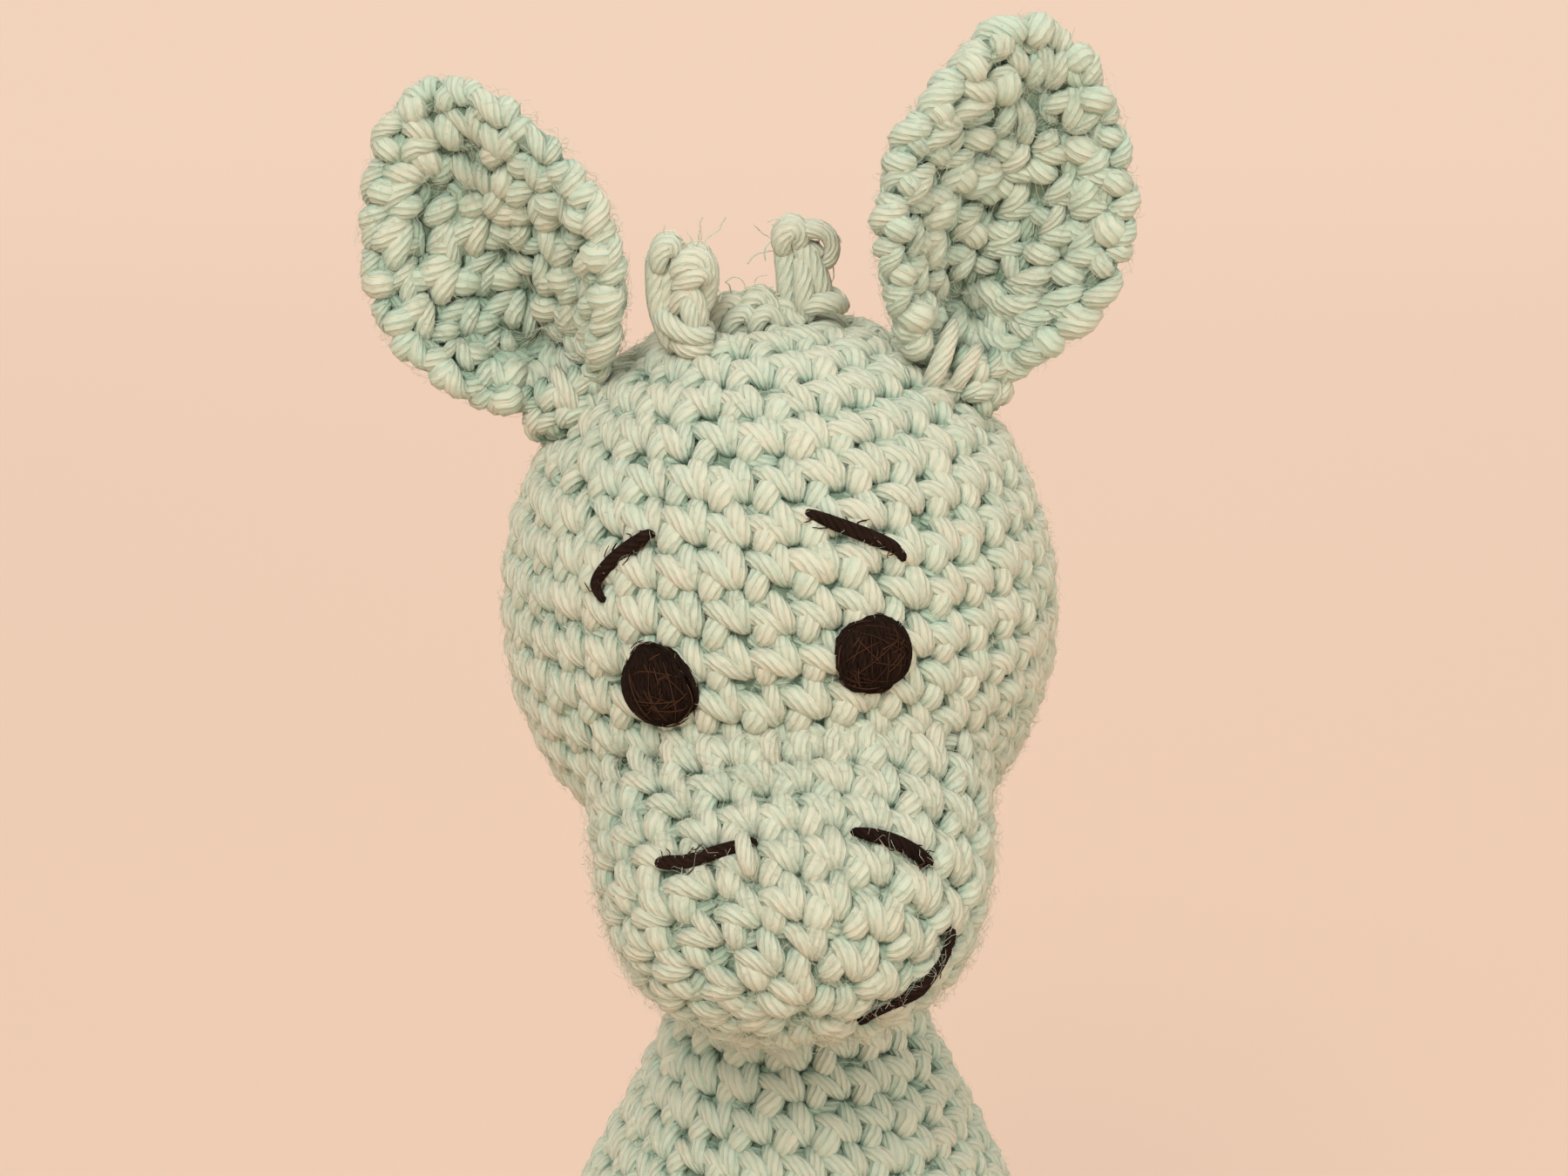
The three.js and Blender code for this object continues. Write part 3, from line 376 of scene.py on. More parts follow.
class Value:
    """A number socket of a finish. Python's operators on it add Math nodes."""

    def __init__(self, finish, socket):
        self.finish = finish
        self.socket = socket

    def maths(self, operation, *others):
        node = self.finish.node("ShaderNodeMath", {"operation": operation}, [self, *others])
        return Value(self.finish, node.outputs[0])

    def __add__(self, other):
        return self.maths("ADD", other)

    def __sub__(self, other):
        return self.maths("SUBTRACT", other)

    def __mul__(self, other):
        return self.maths("MULTIPLY", other)

    def __rsub__(self, other):
        return (self * -1) + other

    __radd__ = __add__
    __rmul__ = __mul__

    def __abs__(self):
        return self.maths("ABSOLUTE")

    def __pow__(self, power):
        return self.maths("POWER", power)

    def held(self):
        """Kept between 0 and 1."""
        node = self.finish.node("ShaderNodeClamp", {}, [self, 0, 1])
        return Value(self.finish, node.outputs[0])


class Nodes:
    """A tree of shader nodes in the making."""

    def __init__(self, tree):
        self.tree = tree

    def node(self, kind, settings, values):
        """Adds a node, sets it up, and fills its sockets in order or by name."""
        node = self.tree.nodes.new(kind)
        for setting, value in settings.items():
            setattr(node, setting, value)
        pairs = values.items() if isinstance(values, dict) else enumerate(values)
        for socket, value in pairs:
            self.fill(node.inputs[socket], value)
        return node

    def fill(self, socket, value):
        if isinstance(value, Value):
            value = value.socket
        if isinstance(value, bpy.types.NodeSocket):
            self.tree.links.new(value, socket)
        elif value is not None:
            socket.default_value = value

    def mixed(self, factor, first, second):
        """A colour between two, as a socket."""
        node = self.node("ShaderNodeMix", {"data_type": "RGBA"}, {0: factor, 6: rgba(first), 7: rgba(second)})
        return node.outputs[2]

    def attribute(self, name):
        return self.node("ShaderNodeAttribute", {"attribute_name": name}, [])

    def noise(self, vector, scale, detail=2.0):
        node = self.node("ShaderNodeTexNoise", {}, {"Vector": vector, "Scale": scale, "Detail": detail})
        return Value(self, node.outputs["Fac"])

    def seen(self):
        """1 for what the camera sees, straight or by way of a glossy or a clear piece."""
        rays = self.node("ShaderNodeLightPath", {}, []).outputs
        straight, mirrored, through = (
            Value(self, rays[f"Is {kind} Ray"]) for kind in ("Camera", "Glossy", "Transmission"))
        return (straight + mirrored + through).held()


class Finish(Nodes):
    """A procedural material in the making."""

    def __init__(self, name, **constants):
        self.material = bpy.data.materials.new(name)
        self.material.use_nodes = True
        super().__init__(self.material.node_tree)
        self.shader = self.tree.nodes["Principled BSDF"]
        for socket, value in constants.items():
            self.shader.inputs[socket.replace("_", " ")].default_value = value

    def bumped(self, height, strength, distance):
        node = self.node("ShaderNodeBump", {}, {"Strength": strength, "Distance": distance, "Height": height})
        self.fill(self.shader.inputs["Normal"], node.outputs[0])

    def coloured(self, colour):
        self.fill(self.shader.inputs["Base Color"], colour)


def rgba(colour):
    return colour if isinstance(colour, bpy.types.NodeSocket) else (*colour, 1)


def yarn_finish(name, dark, body, pale, plies=10, twist=2.0, sheen=0.25, gloss=0.18, bump=0.8, streaks=0.62):
    """Plied yarn: grooves between its plies, pale and dark fibres along it, painted shade deep down and light on top.
    """
    finish = Finish(name, Roughness=0.92, Sheen_Weight=sheen, Sheen_Roughness=0.45, Specular_IOR_Level=gloss)
    place = finish.attribute("strand").outputs["Vector"]
    parts = finish.node("ShaderNodeSeparateXYZ", {}, [place])
    across, up, along = (Value(finish, parts.outputs[i]) for i in range(3))
    angle = up.maths("ARCTAN2", across)
    wobble = (finish.noise(place, 0.7, 2.0) - 0.5) * 1.5
    ply = abs((angle * (plies / 2) + along * twist + wobble).maths("SINE"))
    # The grooves between the plies are painted darker and the plies' crowns paler, painted shade and light; the bump
    # gives their relief
    groove = (1 - ply) ** 2.2
    untwist = {"Vector": place, "Angle": along * (twist * 2 / plies)}
    turned = finish.node("ShaderNodeVectorRotate", {"rotation_type": "Z_AXIS"}, untwist)
    drawn = finish.node("ShaderNodeMapping", {}, {"Vector": turned.outputs[0], "Scale": FIBRE_STRETCH})
    fibre = finish.noise(drawn.outputs[0], 1.7, 5.0)
    patch = finish.noise(place, 0.9, 1.0)
    tone = Value(finish, finish.attribute("tone").outputs["Fac"])
    depth = Value(finish, finish.attribute("depth").outputs["Fac"])
    # Paleness: fibres, patches and tone are the yarn's own colour; height over the pad adds painted light on the tops
    paleness = (
        (fibre - 0.5) * FIBRE_PALE + (patch - 0.5) * PATCH_PALE + tone * TONE_PALE
        + depth * DEPTH_LIGHT - groove * GROOVE_LIGHT + (streaks - EVEN_PALE)).held()
    colour = finish.mixed(paleness, body, pale)
    # Painted shade: darker deep between the stitches and in the grooves, made uneven by the fibres
    shade = ((1 - depth) * DEPTH_SHADE - EVEN_SHADE + groove * GROOVE_SHADE + (0.5 - fibre) * FIBRE_DARK).held()
    finish.coloured(finish.mixed(shade, colour, dark))
    finish.bumped(ply * PLY_BUMP + fibre * FIBRE_BUMP, bump, BUMP_DEEP)
    return finish.material


def pad_finish(name, dark, body):
    """The felted depth under the stitches, painted dark as the shade between them."""
    finish = Finish(name, Roughness=0.96, Sheen_Weight=0.1, Specular_IOR_Level=0.1)
    place = finish.node("ShaderNodeTexCoord", {}, []).outputs["Object"]
    fibre = finish.noise(place, 1500, 3.0)
    finish.coloured(finish.mixed(((fibre - 0.42) * 1.6).held(), dark, body))
    finish.bumped(fibre, 0.6, BUMP_DEEP)
    return finish.material


def fibre_finish(name, body, pale, sheen=0.2):
    """Fine loose fibres, dull, each of its own tone."""
    finish = Finish(name, Roughness=0.8, Sheen_Weight=sheen, Specular_IOR_Level=sheen)
    tone = Value(finish, finish.attribute("tone").outputs["Fac"])
    finish.coloured(finish.mixed((tone + 0.5).held(), body, pale))
    return finish.material


def finish_named(name):
    """A finish of the doll, made when it is first asked for."""
    made = bpy.data.materials.get(name)
    if made:
        return made
    yarn = bpy.context.scene.doll_yarn
    mint, cream, crevice_shade, black = (tuple(c) for c in (yarn.mint, yarn.cream, yarn.crevice_shade, yarn.black))
    if name == "mint_yarn":
        return yarn_finish(name, crevice_shade, mint, cream)
    if name == "loose_fibre":
        return fibre_finish(name, mint, cream)
    if name == "brown_fibre":
        return fibre_finish(name, EYE_FIBRE, tuple(2 * c for c in EYE_FIBRE), 0)
    if name == "face_yarn":
        return yarn_finish(
            name, black, tuple(1.3 * c for c in black), FACE_PALE,
            plies=6, twist=2.6, sheen=0, gloss=0.07, streaks=0.34)
    return pad_finish(name, PAD_SHADE, PAD_BODY)


# Measures and directions

def lengths(arrows):
    return np.linalg.norm(arrows, axis=-1, keepdims=True)


def unit(arrows, least=1e-9):
    """Arrows of length one, the same way. Those shorter than the least stay shorter."""
    return arrows / np.maximum(lengths(arrows), least)


def run_along(points):
    """How far each point is from the first, along the line through them."""
    return np.concatenate([[0], np.cumsum(lengths(np.diff(points, axis=0)))])


def ways_round(first, second, count):
    """Evenly spread directions in the plane of two others."""
    turns = np.arange(count) / count * 2 * np.pi
    return [math.cos(t) * first + math.sin(t) * second for t in turns]


def level(angle):
    """The level direction at an angle about the upright."""
    return Vector((math.cos(angle), math.sin(angle), 0))


def smoothstep(value, low, high):
    part = min(max((value - low) / (high - low), 0), 1)
    return part * part * (3 - 2 * part)


def squared(value, share):
    return math.copysign(abs(value) ** share, value)


def finer(points, pieces):
    """Points on straight runs between the given ones."""
    out = []
    for a, b in zip(points, points[1:]):
        out += [a.lerp(b, i / pieces) for i in range(pieces)]
    return out + [points[-1]]


# Modelling helpers

def deselect():
    if bpy.context.object and bpy.context.object.mode != "OBJECT":
        bpy.ops.object.mode_set(mode="OBJECT")
    bpy.ops.object.select_all(action="DESELECT")


def active(obj):
    deselect()
    obj.select_set(True)
    bpy.context.view_layer.objects.active = obj
    return obj


def new_object(name, mesh):
    obj = bpy.data.objects.new(name, mesh)
    bpy.context.scene.collection.objects.link(obj)
    return obj


def smooth_faces(obj):
    obj.data.polygons.foreach_set("use_smooth", np.ones(len(obj.data.polygons), bool))


def apply_modifier(obj, name, kind, **settings):
    """Adds a modifier to the active object and applies it."""
    modifier = obj.modifiers.new(name, kind)
    for setting, value in settings.items():
        setattr(modifier, setting, value)
    bpy.ops.object.modifier_apply(modifier=modifier.name)


def model_strand(name, sides=8, rings=7):
    """One short strand of yarn, modelled from a disc: its ends are drawn in, and it is one unit long."""
    deselect()
    bpy.ops.mesh.primitive_circle_add(vertices=sides, radius=1, fill_type="NGON")
    obj = bpy.context.object
    obj.name = name
    bpy.ops.object.mode_set(mode="EDIT")
    bpy.ops.mesh.select_all(action="SELECT")
    step = 1 / (rings - 1)
    for _ in range(rings - 1):
        bpy.ops.mesh.extrude_region_move(TRANSFORM_OT_translate={"value": (0, 0, step)})
    bpy.ops.transform.resize(value=(STRAND_END, STRAND_END, 1))
    bpy.ops.mesh.select_all(action="SELECT")
    bpy.ops.mesh.normals_make_consistent(inside=False)
    bpy.ops.object.mode_set(mode="OBJECT")
    for vertex in obj.data.vertices:
        if vertex.co.z < step / 2:
            vertex.co.x *= STRAND_END
            vertex.co.y *= STRAND_END
    return obj


class Strand:
    """The modelled strand as arrays, ready to be copied along curves."""

    def __init__(self, sides=8, rings=7):
        obj = model_strand("strand_model", sides, rings)
        mesh = obj.data
        self.places = np.array([v.co for v in mesh.vertices], float)
        self.rings = np.unique(np.round(self.places[:, 2], 4))
        self.ring_of = np.searchsorted(self.rings, self.places[:, 2] - 1e-3)
        self.faces = [list(p.vertices) for p in mesh.polygons]
        self.loops = np.concatenate(self.faces)
        self.totals = np.array([len(f) for f in self.faces])
        self.uvs = np.concatenate([self.face_uv(f) for f in self.faces])
        bpy.data.objects.remove(obj)
        bpy.data.meshes.remove(mesh)

    def face_uv(self, face):
        """Where a face lies on the strand's own unit square."""
        places = self.places[face]
        around = np.arctan2(places[:, 1], places[:, 0]) / (2 * np.pi) % 1
        along = places[:, 2]
        if len(face) > 4:
            middle = UV_END if along[0] < 0.5 else 1 - UV_END
            return np.array([0.5, middle]) + UV_END_RADIUS * places[:, :2]
        if np.ptp(around) > 0.5:
            around = np.where(around < 0.5, around + 1, around)
        return np.stack([UV_SIDE + (1 - 2 * UV_SIDE) * around, UV_TUBE + (1 - 2 * UV_TUBE) * along], 1)

    def weights(self, count):
        """Smooth-curve weights of evenly spaced control points at this strand's rings."""
        return self.weights_at(self.rings, count)

    @staticmethod
    def weights_at(shares, count):
        """Smooth-curve weights of evenly spaced control points at shares of the whole."""
        weights = np.zeros((len(shares), count))
        for row, share in enumerate(shares):
            place = share * (count - 1)
            start = min(int(place), count - 2)
            t = place - start
            basis = [
                -0.5 * t + t * t - 0.5 * t ** 3, 1 - 2.5 * t * t + 1.5 * t ** 3,
                0.5 * t + 2 * t * t - 1.5 * t ** 3, -0.5 * t * t + 0.5 * t ** 3,
            ]
            for step, part in enumerate(basis):
                weights[row, min(max(start - 1 + step, 0), count - 1)] += part
        return weights


STRANDS = {}


def strand_of(sides=8, rings=7):
    if (sides, rings) not in STRANDS:
        STRANDS[sides, rings] = Strand(sides, rings)
    return STRANDS[sides, rings]


class Yarnwork:
    """Gathers strands, and makes them one mesh."""

    def __init__(self, strand, seed, raised=0.0, tone=0.0):
        self.strand = strand
        self.rng = np.random.default_rng(seed)
        self.raised = raised
        self.tone = tone
        self.parts = []

    def add(self, centres, outward, radii, heights=None, flat=0.9):
        """Lays one strand on each row of centres. Radii and heights are given at its rings."""
        along = np.gradient(centres, axis=1)
        length = lengths(along)
        along = unit(along)
        side = unit(np.cross(along, outward))
        proud = np.cross(side, along)
        ring = self.strand.ring_of
        across, up = self.strand.places[:, 0], self.strand.places[:, 1]
        radius = radii[:, ring, None]
        verts = centres[:, ring] + radius * (across[:, None] * side[:, ring] + flat * up[:, None] * proud[:, ring])
        run = np.concatenate([np.zeros((len(centres), 1)), np.cumsum(length[:, 1:, 0], axis=1)], axis=1)
        start = self.rng.uniform(0, STRAND_STARTS, len(centres))
        place = np.empty_like(verts)
        place[..., 0] = across
        place[..., 1] = up
        place[..., 2] = run[:, ring] / MM + start[:, None]
        # Depth: height over the pad, plus the piece's lift, which the yarn turns into painted shade low down and
        # painted light high up
        if heights is None:
            depth = np.ones(verts.shape[:2])
        else:
            depth = (heights[:, ring] + radii[:, ring] * up * flat) / (FULL_LIGHT * MM) + self.raised
        tone = np.repeat(self.rng.uniform(-0.5, 0.5, (len(centres), 1)), verts.shape[1], axis=1) + self.tone
        self.parts.append((verts, place, np.clip(depth, 0, 1), tone))

    def tree(self):
        """A search tree over the strands laid so far."""
        verts = np.concatenate([part[0] for part in self.parts])
        count, size = verts.shape[:2]
        faces = [[start + i for i in face] for start in range(0, count * size, size) for face in self.strand.faces]
        return BVHTree.FromPolygons(verts.reshape(-1, 3).tolist(), faces)

    def bands(self):
        """Shares a large piece out between an upper and a lower mesh, by the strands' heights."""
        height = np.concatenate([part[0][..., 2].mean(axis=1) for part in self.parts])
        upper = height > np.median(height)
        return {"": slice(None)} if len(height) < MOST_STRANDS else {"_upper": upper, "_lower": ~upper}

    def finish(self, name, material, floor=None, chosen=slice(None)):
        """Makes the strands, or the chosen ones, a mesh, and lets none of it lie under a floor."""
        verts, place, depth, tone = (np.concatenate([p[i] for p in self.parts])[chosen] for i in range(4))
        count, size = verts.shape[:2]
        if floor is not None:
            verts[..., 2] = np.maximum(verts[..., 2], floor)
        mesh = bpy.data.meshes.new(name)
        mesh.vertices.add(count * size)
        mesh.vertices.foreach_set("co", verts.astype(np.float32).ravel())
        strand = self.strand
        loops = (strand.loops[None] + size * np.arange(count)[:, None]).ravel()
        mesh.loops.add(len(loops))
        mesh.loops.foreach_set("vertex_index", loops.astype(np.int32))
        totals = np.tile(strand.totals, count)
        mesh.polygons.add(len(totals))
        mesh.polygons.foreach_set("loop_start", (np.cumsum(totals) - totals).astype(np.int32))
        mesh.polygons.foreach_set("use_smooth", np.ones(len(totals), bool))
        mesh.update(calc_edges=True)
        columns = math.ceil(math.sqrt(count))
        cell = np.stack([np.arange(count) % columns, np.arange(count) // columns], 1)
        layer = mesh.uv_layers.new(name="OFBake")
        layer.data.foreach_set("uv", ((strand.uvs[None] + cell[:, None]) / columns).astype(np.float32).ravel())
        for attribute, values in (("strand", place), ("depth", depth), ("tone", tone)):
            kind, field = ("FLOAT_VECTOR", "vector") if attribute == "strand" else ("FLOAT", "value")
            made = mesh.attributes.new(attribute, kind, "POINT")
            made.data.foreach_set(field, values.astype(np.float32).ravel())
        mesh.materials.append(material)
        return new_object(name, mesh)


class Skin:
    """Rounds of points over a form. It is read by the distance along and by turns around."""

    def __init__(self, points, normals=None, run=None):
        self.points = points
        if normals is None:
            along = np.gradient(points, axis=0)
            around = np.roll(points, -1, axis=1) - np.roll(points, 1, axis=1)
            normals = np.cross(around, along)
        self.normals = unit(normals, 1e-12)
        if run is None:
            steps = lengths(np.diff(points, axis=0))[..., 0].mean(axis=1)
            run = np.concatenate([[0], np.cumsum(steps)])
        self.run = run
        self.girth = lengths(np.roll(points, -1, axis=1) - points)[..., 0].sum(axis=1)

    def at(self, distance, turns):
        """Points and outward directions."""
        rows, columns = self.points.shape[:2]
        row = np.interp(distance, self.run, np.arange(rows))
        low = np.minimum(row.astype(int), rows - 2)
        part = (row - low)[..., None]
        column = (turns % 1) * columns
        left = column.astype(int) % columns
        share = (column - np.floor(column))[..., None]
        right = (left + 1) % columns

        def read(grid):
            first = grid[low, left] * (1 - share) + grid[low, right] * share
            second = grid[low + 1, left] * (1 - share) + grid[low + 1, right] * share
            return first * (1 - part) + second * part

        return read(self.points), unit(read(self.normals))

    def girth_at(self, distance):
        return np.interp(distance, self.run, self.girth)

    def closed_mesh(self, name):
        rows, columns = self.points.shape[:2]
        verts = [*self.points.reshape(-1, 3), self.points[0].mean(axis=0), self.points[-1].mean(axis=0)]
        low, high = rows * columns, rows * columns + 1
        faces = []
        for c in range(columns):
            n = (c + 1) % columns
            faces.append((low, n, c))
            faces.append((high, (rows - 1) * columns + c, (rows - 1) * columns + n))
            for r in range(rows - 1):
                faces.append((r * columns + c, r * columns + n, (r + 1) * columns + n, (r + 1) * columns + c))
        mesh = bpy.data.meshes.new(name)
        mesh.from_pydata([tuple(v) for v in verts], [], faces)
        return mesh


def tree_of(*objects):
    """A search tree over objects that sit at the origin."""
    verts, faces = [], []
    for obj in objects:
        start = len(verts)
        verts += [v.co.copy() for v in obj.data.vertices]
        faces += [[start + i for i in p.vertices] for p in obj.data.polygons]
    return BVHTree.FromPolygons(verts, faces)


class Gauge:
    """Rays that measure a form round by round: each from far outside towards a middle line."""

    def __init__(self, stations, columns=72, reach=0.2):
        self.reach = reach
        middles, ways = [], []
        for middle, side, axis, lift in stations:
            rays = ways_round(side, axis.cross(side), columns)
            middles.append([middle] * columns)
            ways.append([math.cos(lift) * way + math.sin(lift) * axis for way in rays])
        self.middles = np.array(middles, float)
        self.ways = np.array(ways, float)

    def measure(self, tree, fallback=None):
        points = np.full(self.middles.shape, np.nan)
        for index in np.ndindex(points.shape[:2]):
            way = Vector(self.ways[index])
            found = tree.ray_cast(Vector(self.middles[index]) + way * self.reach, -way, self.reach)
            if found[0] is not None:
                points[index] = found[0]
        missed = np.isnan(points[..., 0])
        if fallback is not None:
            points[missed] = fallback[missed]
        else:
            self.carry_on(points, missed)
        return Skin(points)

    def carry_on(self, points, missed):
        """Where a ray met nothing, the form keeps the size it has at the nearest round that was met."""
        sizes = np.linalg.norm(points - self.middles, axis=2)
        for column in range(points.shape[1]):
            met = np.flatnonzero(~missed[:, column])
            for row in np.flatnonzero(missed[:, column]):
                size = sizes[met[np.abs(met - row).argmin()], column]
                points[row, column] = self.middles[row, column] + self.ways[row, column] * size


def fan(middle, side, axis, lifts):
    """Stations at one middle whose rays are lifted towards its axis, in degrees."""
    return [(middle, side, axis, lift) for lift in np.radians(lifts)]


def stations_on(line, side, start, end):
    """Stations along a line, with a fan of lifted rays round each of its ends, in degrees."""
    axes = [(line[min(i + 1, len(line) - 1)] - line[max(i - 1, 0)]).normalized() for i in range(len(line))]
    along = [(place, side, axis, 0.0) for place, axis in zip(line, axes)]
    return [*fan(line[0], side, axes[0], start), *along, *fan(line[-1], side, axes[-1], end)]


def swell(obj, voxel, cap):
    """Lets a pad swell as if filled, by at most a cap, and smooths it."""
    active(obj)
    apply_modifier(obj, "remesh", "REMESH", mode="VOXEL", voxel_size=voxel)
    apply_modifier(obj, "smooth", "SMOOTH", factor=0.5, iterations=2)
    count = len(obj.data.vertices)
    rest = np.empty(count * 3, np.float32)
    obj.data.vertices.foreach_get("co", rest)
    cloth = obj.modifiers.new("cloth", "CLOTH")
    cloth.settings.use_pressure = True
    cloth.settings.uniform_pressure_force = PAD_PRESSURE
    cloth.settings.effector_weights.gravity = 0
    scene = bpy.context.scene
    for number in range(1, PAD_FRAMES + 1):
        scene.frame_set(number)
    swollen = np.empty(count * 3, np.float32)
    obj.evaluated_get(bpy.context.evaluated_depsgraph_get()).data.vertices.foreach_get("co", swollen)
    obj.modifiers.remove(cloth)
    scene.frame_set(1)
    move = (swollen - rest).reshape(-1, 3)
    move *= np.minimum(1, cap / np.maximum(lengths(move), 1e-9))
    obj.data.vertices.foreach_set("co", (rest.reshape(-1, 3) + move).ravel())
    apply_modifier(obj, "finer", "SUBSURF", levels=1, render_levels=1)
    smooth_faces(obj)


def closed_pad(name, skin):
    """A closed mesh inside stitches, in the felted finish that paints their shade."""
    pad = new_object(name, skin.closed_mesh(name))
    pad.data.materials.append(finish_named("pad_shade"))
    smooth_faces(pad)
    return pad


def stuffed(name, gauge, node, voxel, deep=PAD_DEEP):
    """A pad inside a CAD skin, swollen by its filling. Gives the pad and its measured surface."""
    outer = gauge.measure(tree_of(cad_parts[node]))
    pad = closed_pad(name, Skin(outer.points - outer.normals * (deep + PAD_SLACK) * MM))
    swell(pad, voxel, bpy.context.scene.doll_yarn.fullness)
    fallback = outer.points - outer.normals * deep * MM
    return pad, gauge.measure(tree_of(pad), fallback)


def rounds_on(skin, start, end, wide, tall, least=5):
    """Stitch places in rounds: distance along, turns, and the stitches in that round."""
    rows = max(1, round((end - start) / tall))
    tall = (end - start) / rows
    places = []
    phase = 0.0
    for row in range(rows):
        distance = start + (row + 0.5) * tall
        count = max(least, round(float(skin.girth_at(distance)) / wide))
        phase += TURN_DRIFT / count
        places += [(distance, phase + k / count, count) for k in range(count)]
    return np.array(places), tall


def lay_stitches(work, skin, places, tall, scale=1.0, jitter=1.0, keep=None):
    """Lays a whole stitch, strand by strand, at each place on a skin."""
    rng = work.rng
    count = len(places)
    lean = rng.normal(0, STITCH_LEANS * jitter, count)
    shift = rng.normal(0, STITCH_SHIFTS * jitter, (count, 2))
    size = rng.normal(1, STITCH_SIZES * jitter, count) * scale
    kept = np.ones(count, bool)
    if keep is not None:
        points, _ = skin.at(places[:, 0], places[:, 1])
        kept = np.array([keep(Vector(p)) for p in points])
    for rows in STITCH.values():
        control = work.strand.weights(len(rows)) @ np.array(rows)
        across = control[None, :, 0] + rng.normal(0, STRAND_SHIFTS * jitter, (count, 1))
        upward = control[None, :, 1] + rng.normal(0, STRAND_SHIFTS * jitter, (count, 1))
        cos, sin = np.cos(lean)[:, None], np.sin(lean)[:, None]
        turned_across = across * cos - upward * sin + shift[:, :1]
        turned_up = across * sin + upward * cos + shift[:, 1:]
        distance = places[:, :1] + turned_up * tall
        local = np.maximum(skin.girth_at(distance), 1e-4)
        middle = np.maximum(skin.girth_at(places[:, :1]), 1e-4)
        turns = places[:, 1:2] + turned_across / places[:, 2:3] * np.clip(middle / local, 0.6, 1.6)
        points, normals = skin.at(distance, turns)
        radii = control[None, :, 3] * size[:, None] * rng.normal(1, STRAND_RADII * jitter, (count, 1)) * MM
        heights = (control[None, :, 2] * scale + rng.normal(0, STRAND_HEIGHTS * jitter, (count, 1))) * MM
        centres = points + normals * heights[..., None]
        work.add(centres[kept], normals[kept], radii[kept], heights[kept])


def scattered(obj, area, rng):
    """Random points spread evenly over a closed mesh, and the outward direction at each."""
    mesh = obj.data
    mesh.calc_loop_triangles()
    corners = np.array([mesh.vertices[i].co for t in mesh.loop_triangles for i in t.vertices], float)
    corners = corners.reshape(-1, 3, 3)
    normals = np.cross(corners[:, 1] - corners[:, 0], corners[:, 2] - corners[:, 0])
    normals *= np.sign(np.einsum("ij,ij->i", corners[:, 0], normals).sum())
    sizes = np.linalg.norm(normals, axis=1)
    chosen = rng.choice(len(sizes), round(sizes.sum() / 2 / area), p=sizes / sizes.sum())
    a, b = rng.uniform(0, 1, (2, len(chosen), 1))
    over_one = a + b > 1
    a, b = np.where(over_one, 1 - a, a), np.where(over_one, 1 - b, b)
    first, second, third = corners[chosen].transpose(1, 0, 2)
    points = first + a * (second - first) + b * (third - first)
    return points, normals[chosen] / sizes[chosen, None]


def fill_gaps(work, pad, way, keep=None):
    """Lays a short strand, roughly along a way, wherever more than a crack of the pad shows between the stitches."""
    rng = work.rng
    tree = work.tree()
    points, normals = scattered(pad, FILL_AREA * MM * MM, rng)
    above = points + normals * FILL_FROM * MM
    hits = [tree.ray_cast(Vector(p), Vector(-n), FILL_REACH * MM)[0] for p, n in zip(above, normals)]
    bare = np.array([hit is None for hit in hits])
    covered = KDTree(int((~bare).sum()))
    for place, point in enumerate(points[~bare]):
        covered.insert(point, place)
    covered.balance()
    holes = [(covered.find(points[i])[2], i) for i in np.flatnonzero(bare)]
    chosen = []
    for size, i in sorted(holes, reverse=True):
        if size < FILL_HOLE * MM:
            break
        if keep is not None and not keep(Vector(points[i])):
            continue
        if all(np.linalg.norm(points[i] - points[other]) > FILL_APART * MM for other in chosen):
            chosen.append(i)
    if not chosen:
        return
    outward = normals[chosen]
    aside = unit(np.cross(outward, np.array(way)))
    angle = rng.normal(0, FILLER_TURNS, (len(chosen), 1))
    heading = np.cross(aside, outward) * np.cos(angle) + aside * np.sin(angle)
    control = work.strand.weights(len(FILLER)) @ np.array(FILLER) * MM
    centres = points[chosen][:, None] + heading[:, None] * control[:, :1] + outward[:, None] * control[:, 1:2]
    radii = control[:, 2] * rng.normal(1, FILLER_RADII, (len(chosen), 1))
    heights = np.tile(control[:, 1], (len(chosen), 1))
    work.add(centres, np.repeat(outward[:, None], len(control), axis=1), radii, heights)


def hand_over(obj, body, slot, *nodes):
    """Says which body a piece moves with and which solids it stands for. The slot of its finish is not used."""
    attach(obj, body)
    if nodes:
        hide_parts(*nodes)


SKINS = {}


def inside(tree, margin=0.0):
    """A test: whether a point lies under a closed surface, or less than a margin over it."""
    def test(point):
        place, normal, *_ = tree.find_nearest(point)
        return (point - place).dot(normal) < margin
    return test


def crochet(name, gauge, body, voxel, start, end, seed, keep=None, floor=None, deep=PAD_DEEP):
    """A stuffed piece: its pad and the stitches that cover it. Its voxels, start and end are millimetres."""
    yarn = bpy.context.scene.doll_yarn
    pad, skin = stuffed(f"{name}_pad", gauge, f"{name}_shell", voxel * MM, deep)
    SKINS[name] = skin
    work = Yarnwork(strand_of(), seed, *TONES.get(name, BODY_TONE))
    places, tall = rounds_on(skin, start * MM, skin.run[-1] - end * MM, yarn.stitch_wide, yarn.stitch_tall)
    lay_stitches(work, skin, places, tall, keep=keep)
    fill_gaps(work, pad, HEAD_TURN @ UP, keep)
    for band, chosen in work.bands().items():
        stitches = work.finish(f"{name}_stitches{band}", finish_named("mint_yarn"), floor, chosen)
        hand_over(stitches, body, "mint_cotton", f"{name}_shell")
    hand_over(pad, body, "fibre_filling", f"{name}_filling")


# Pieces

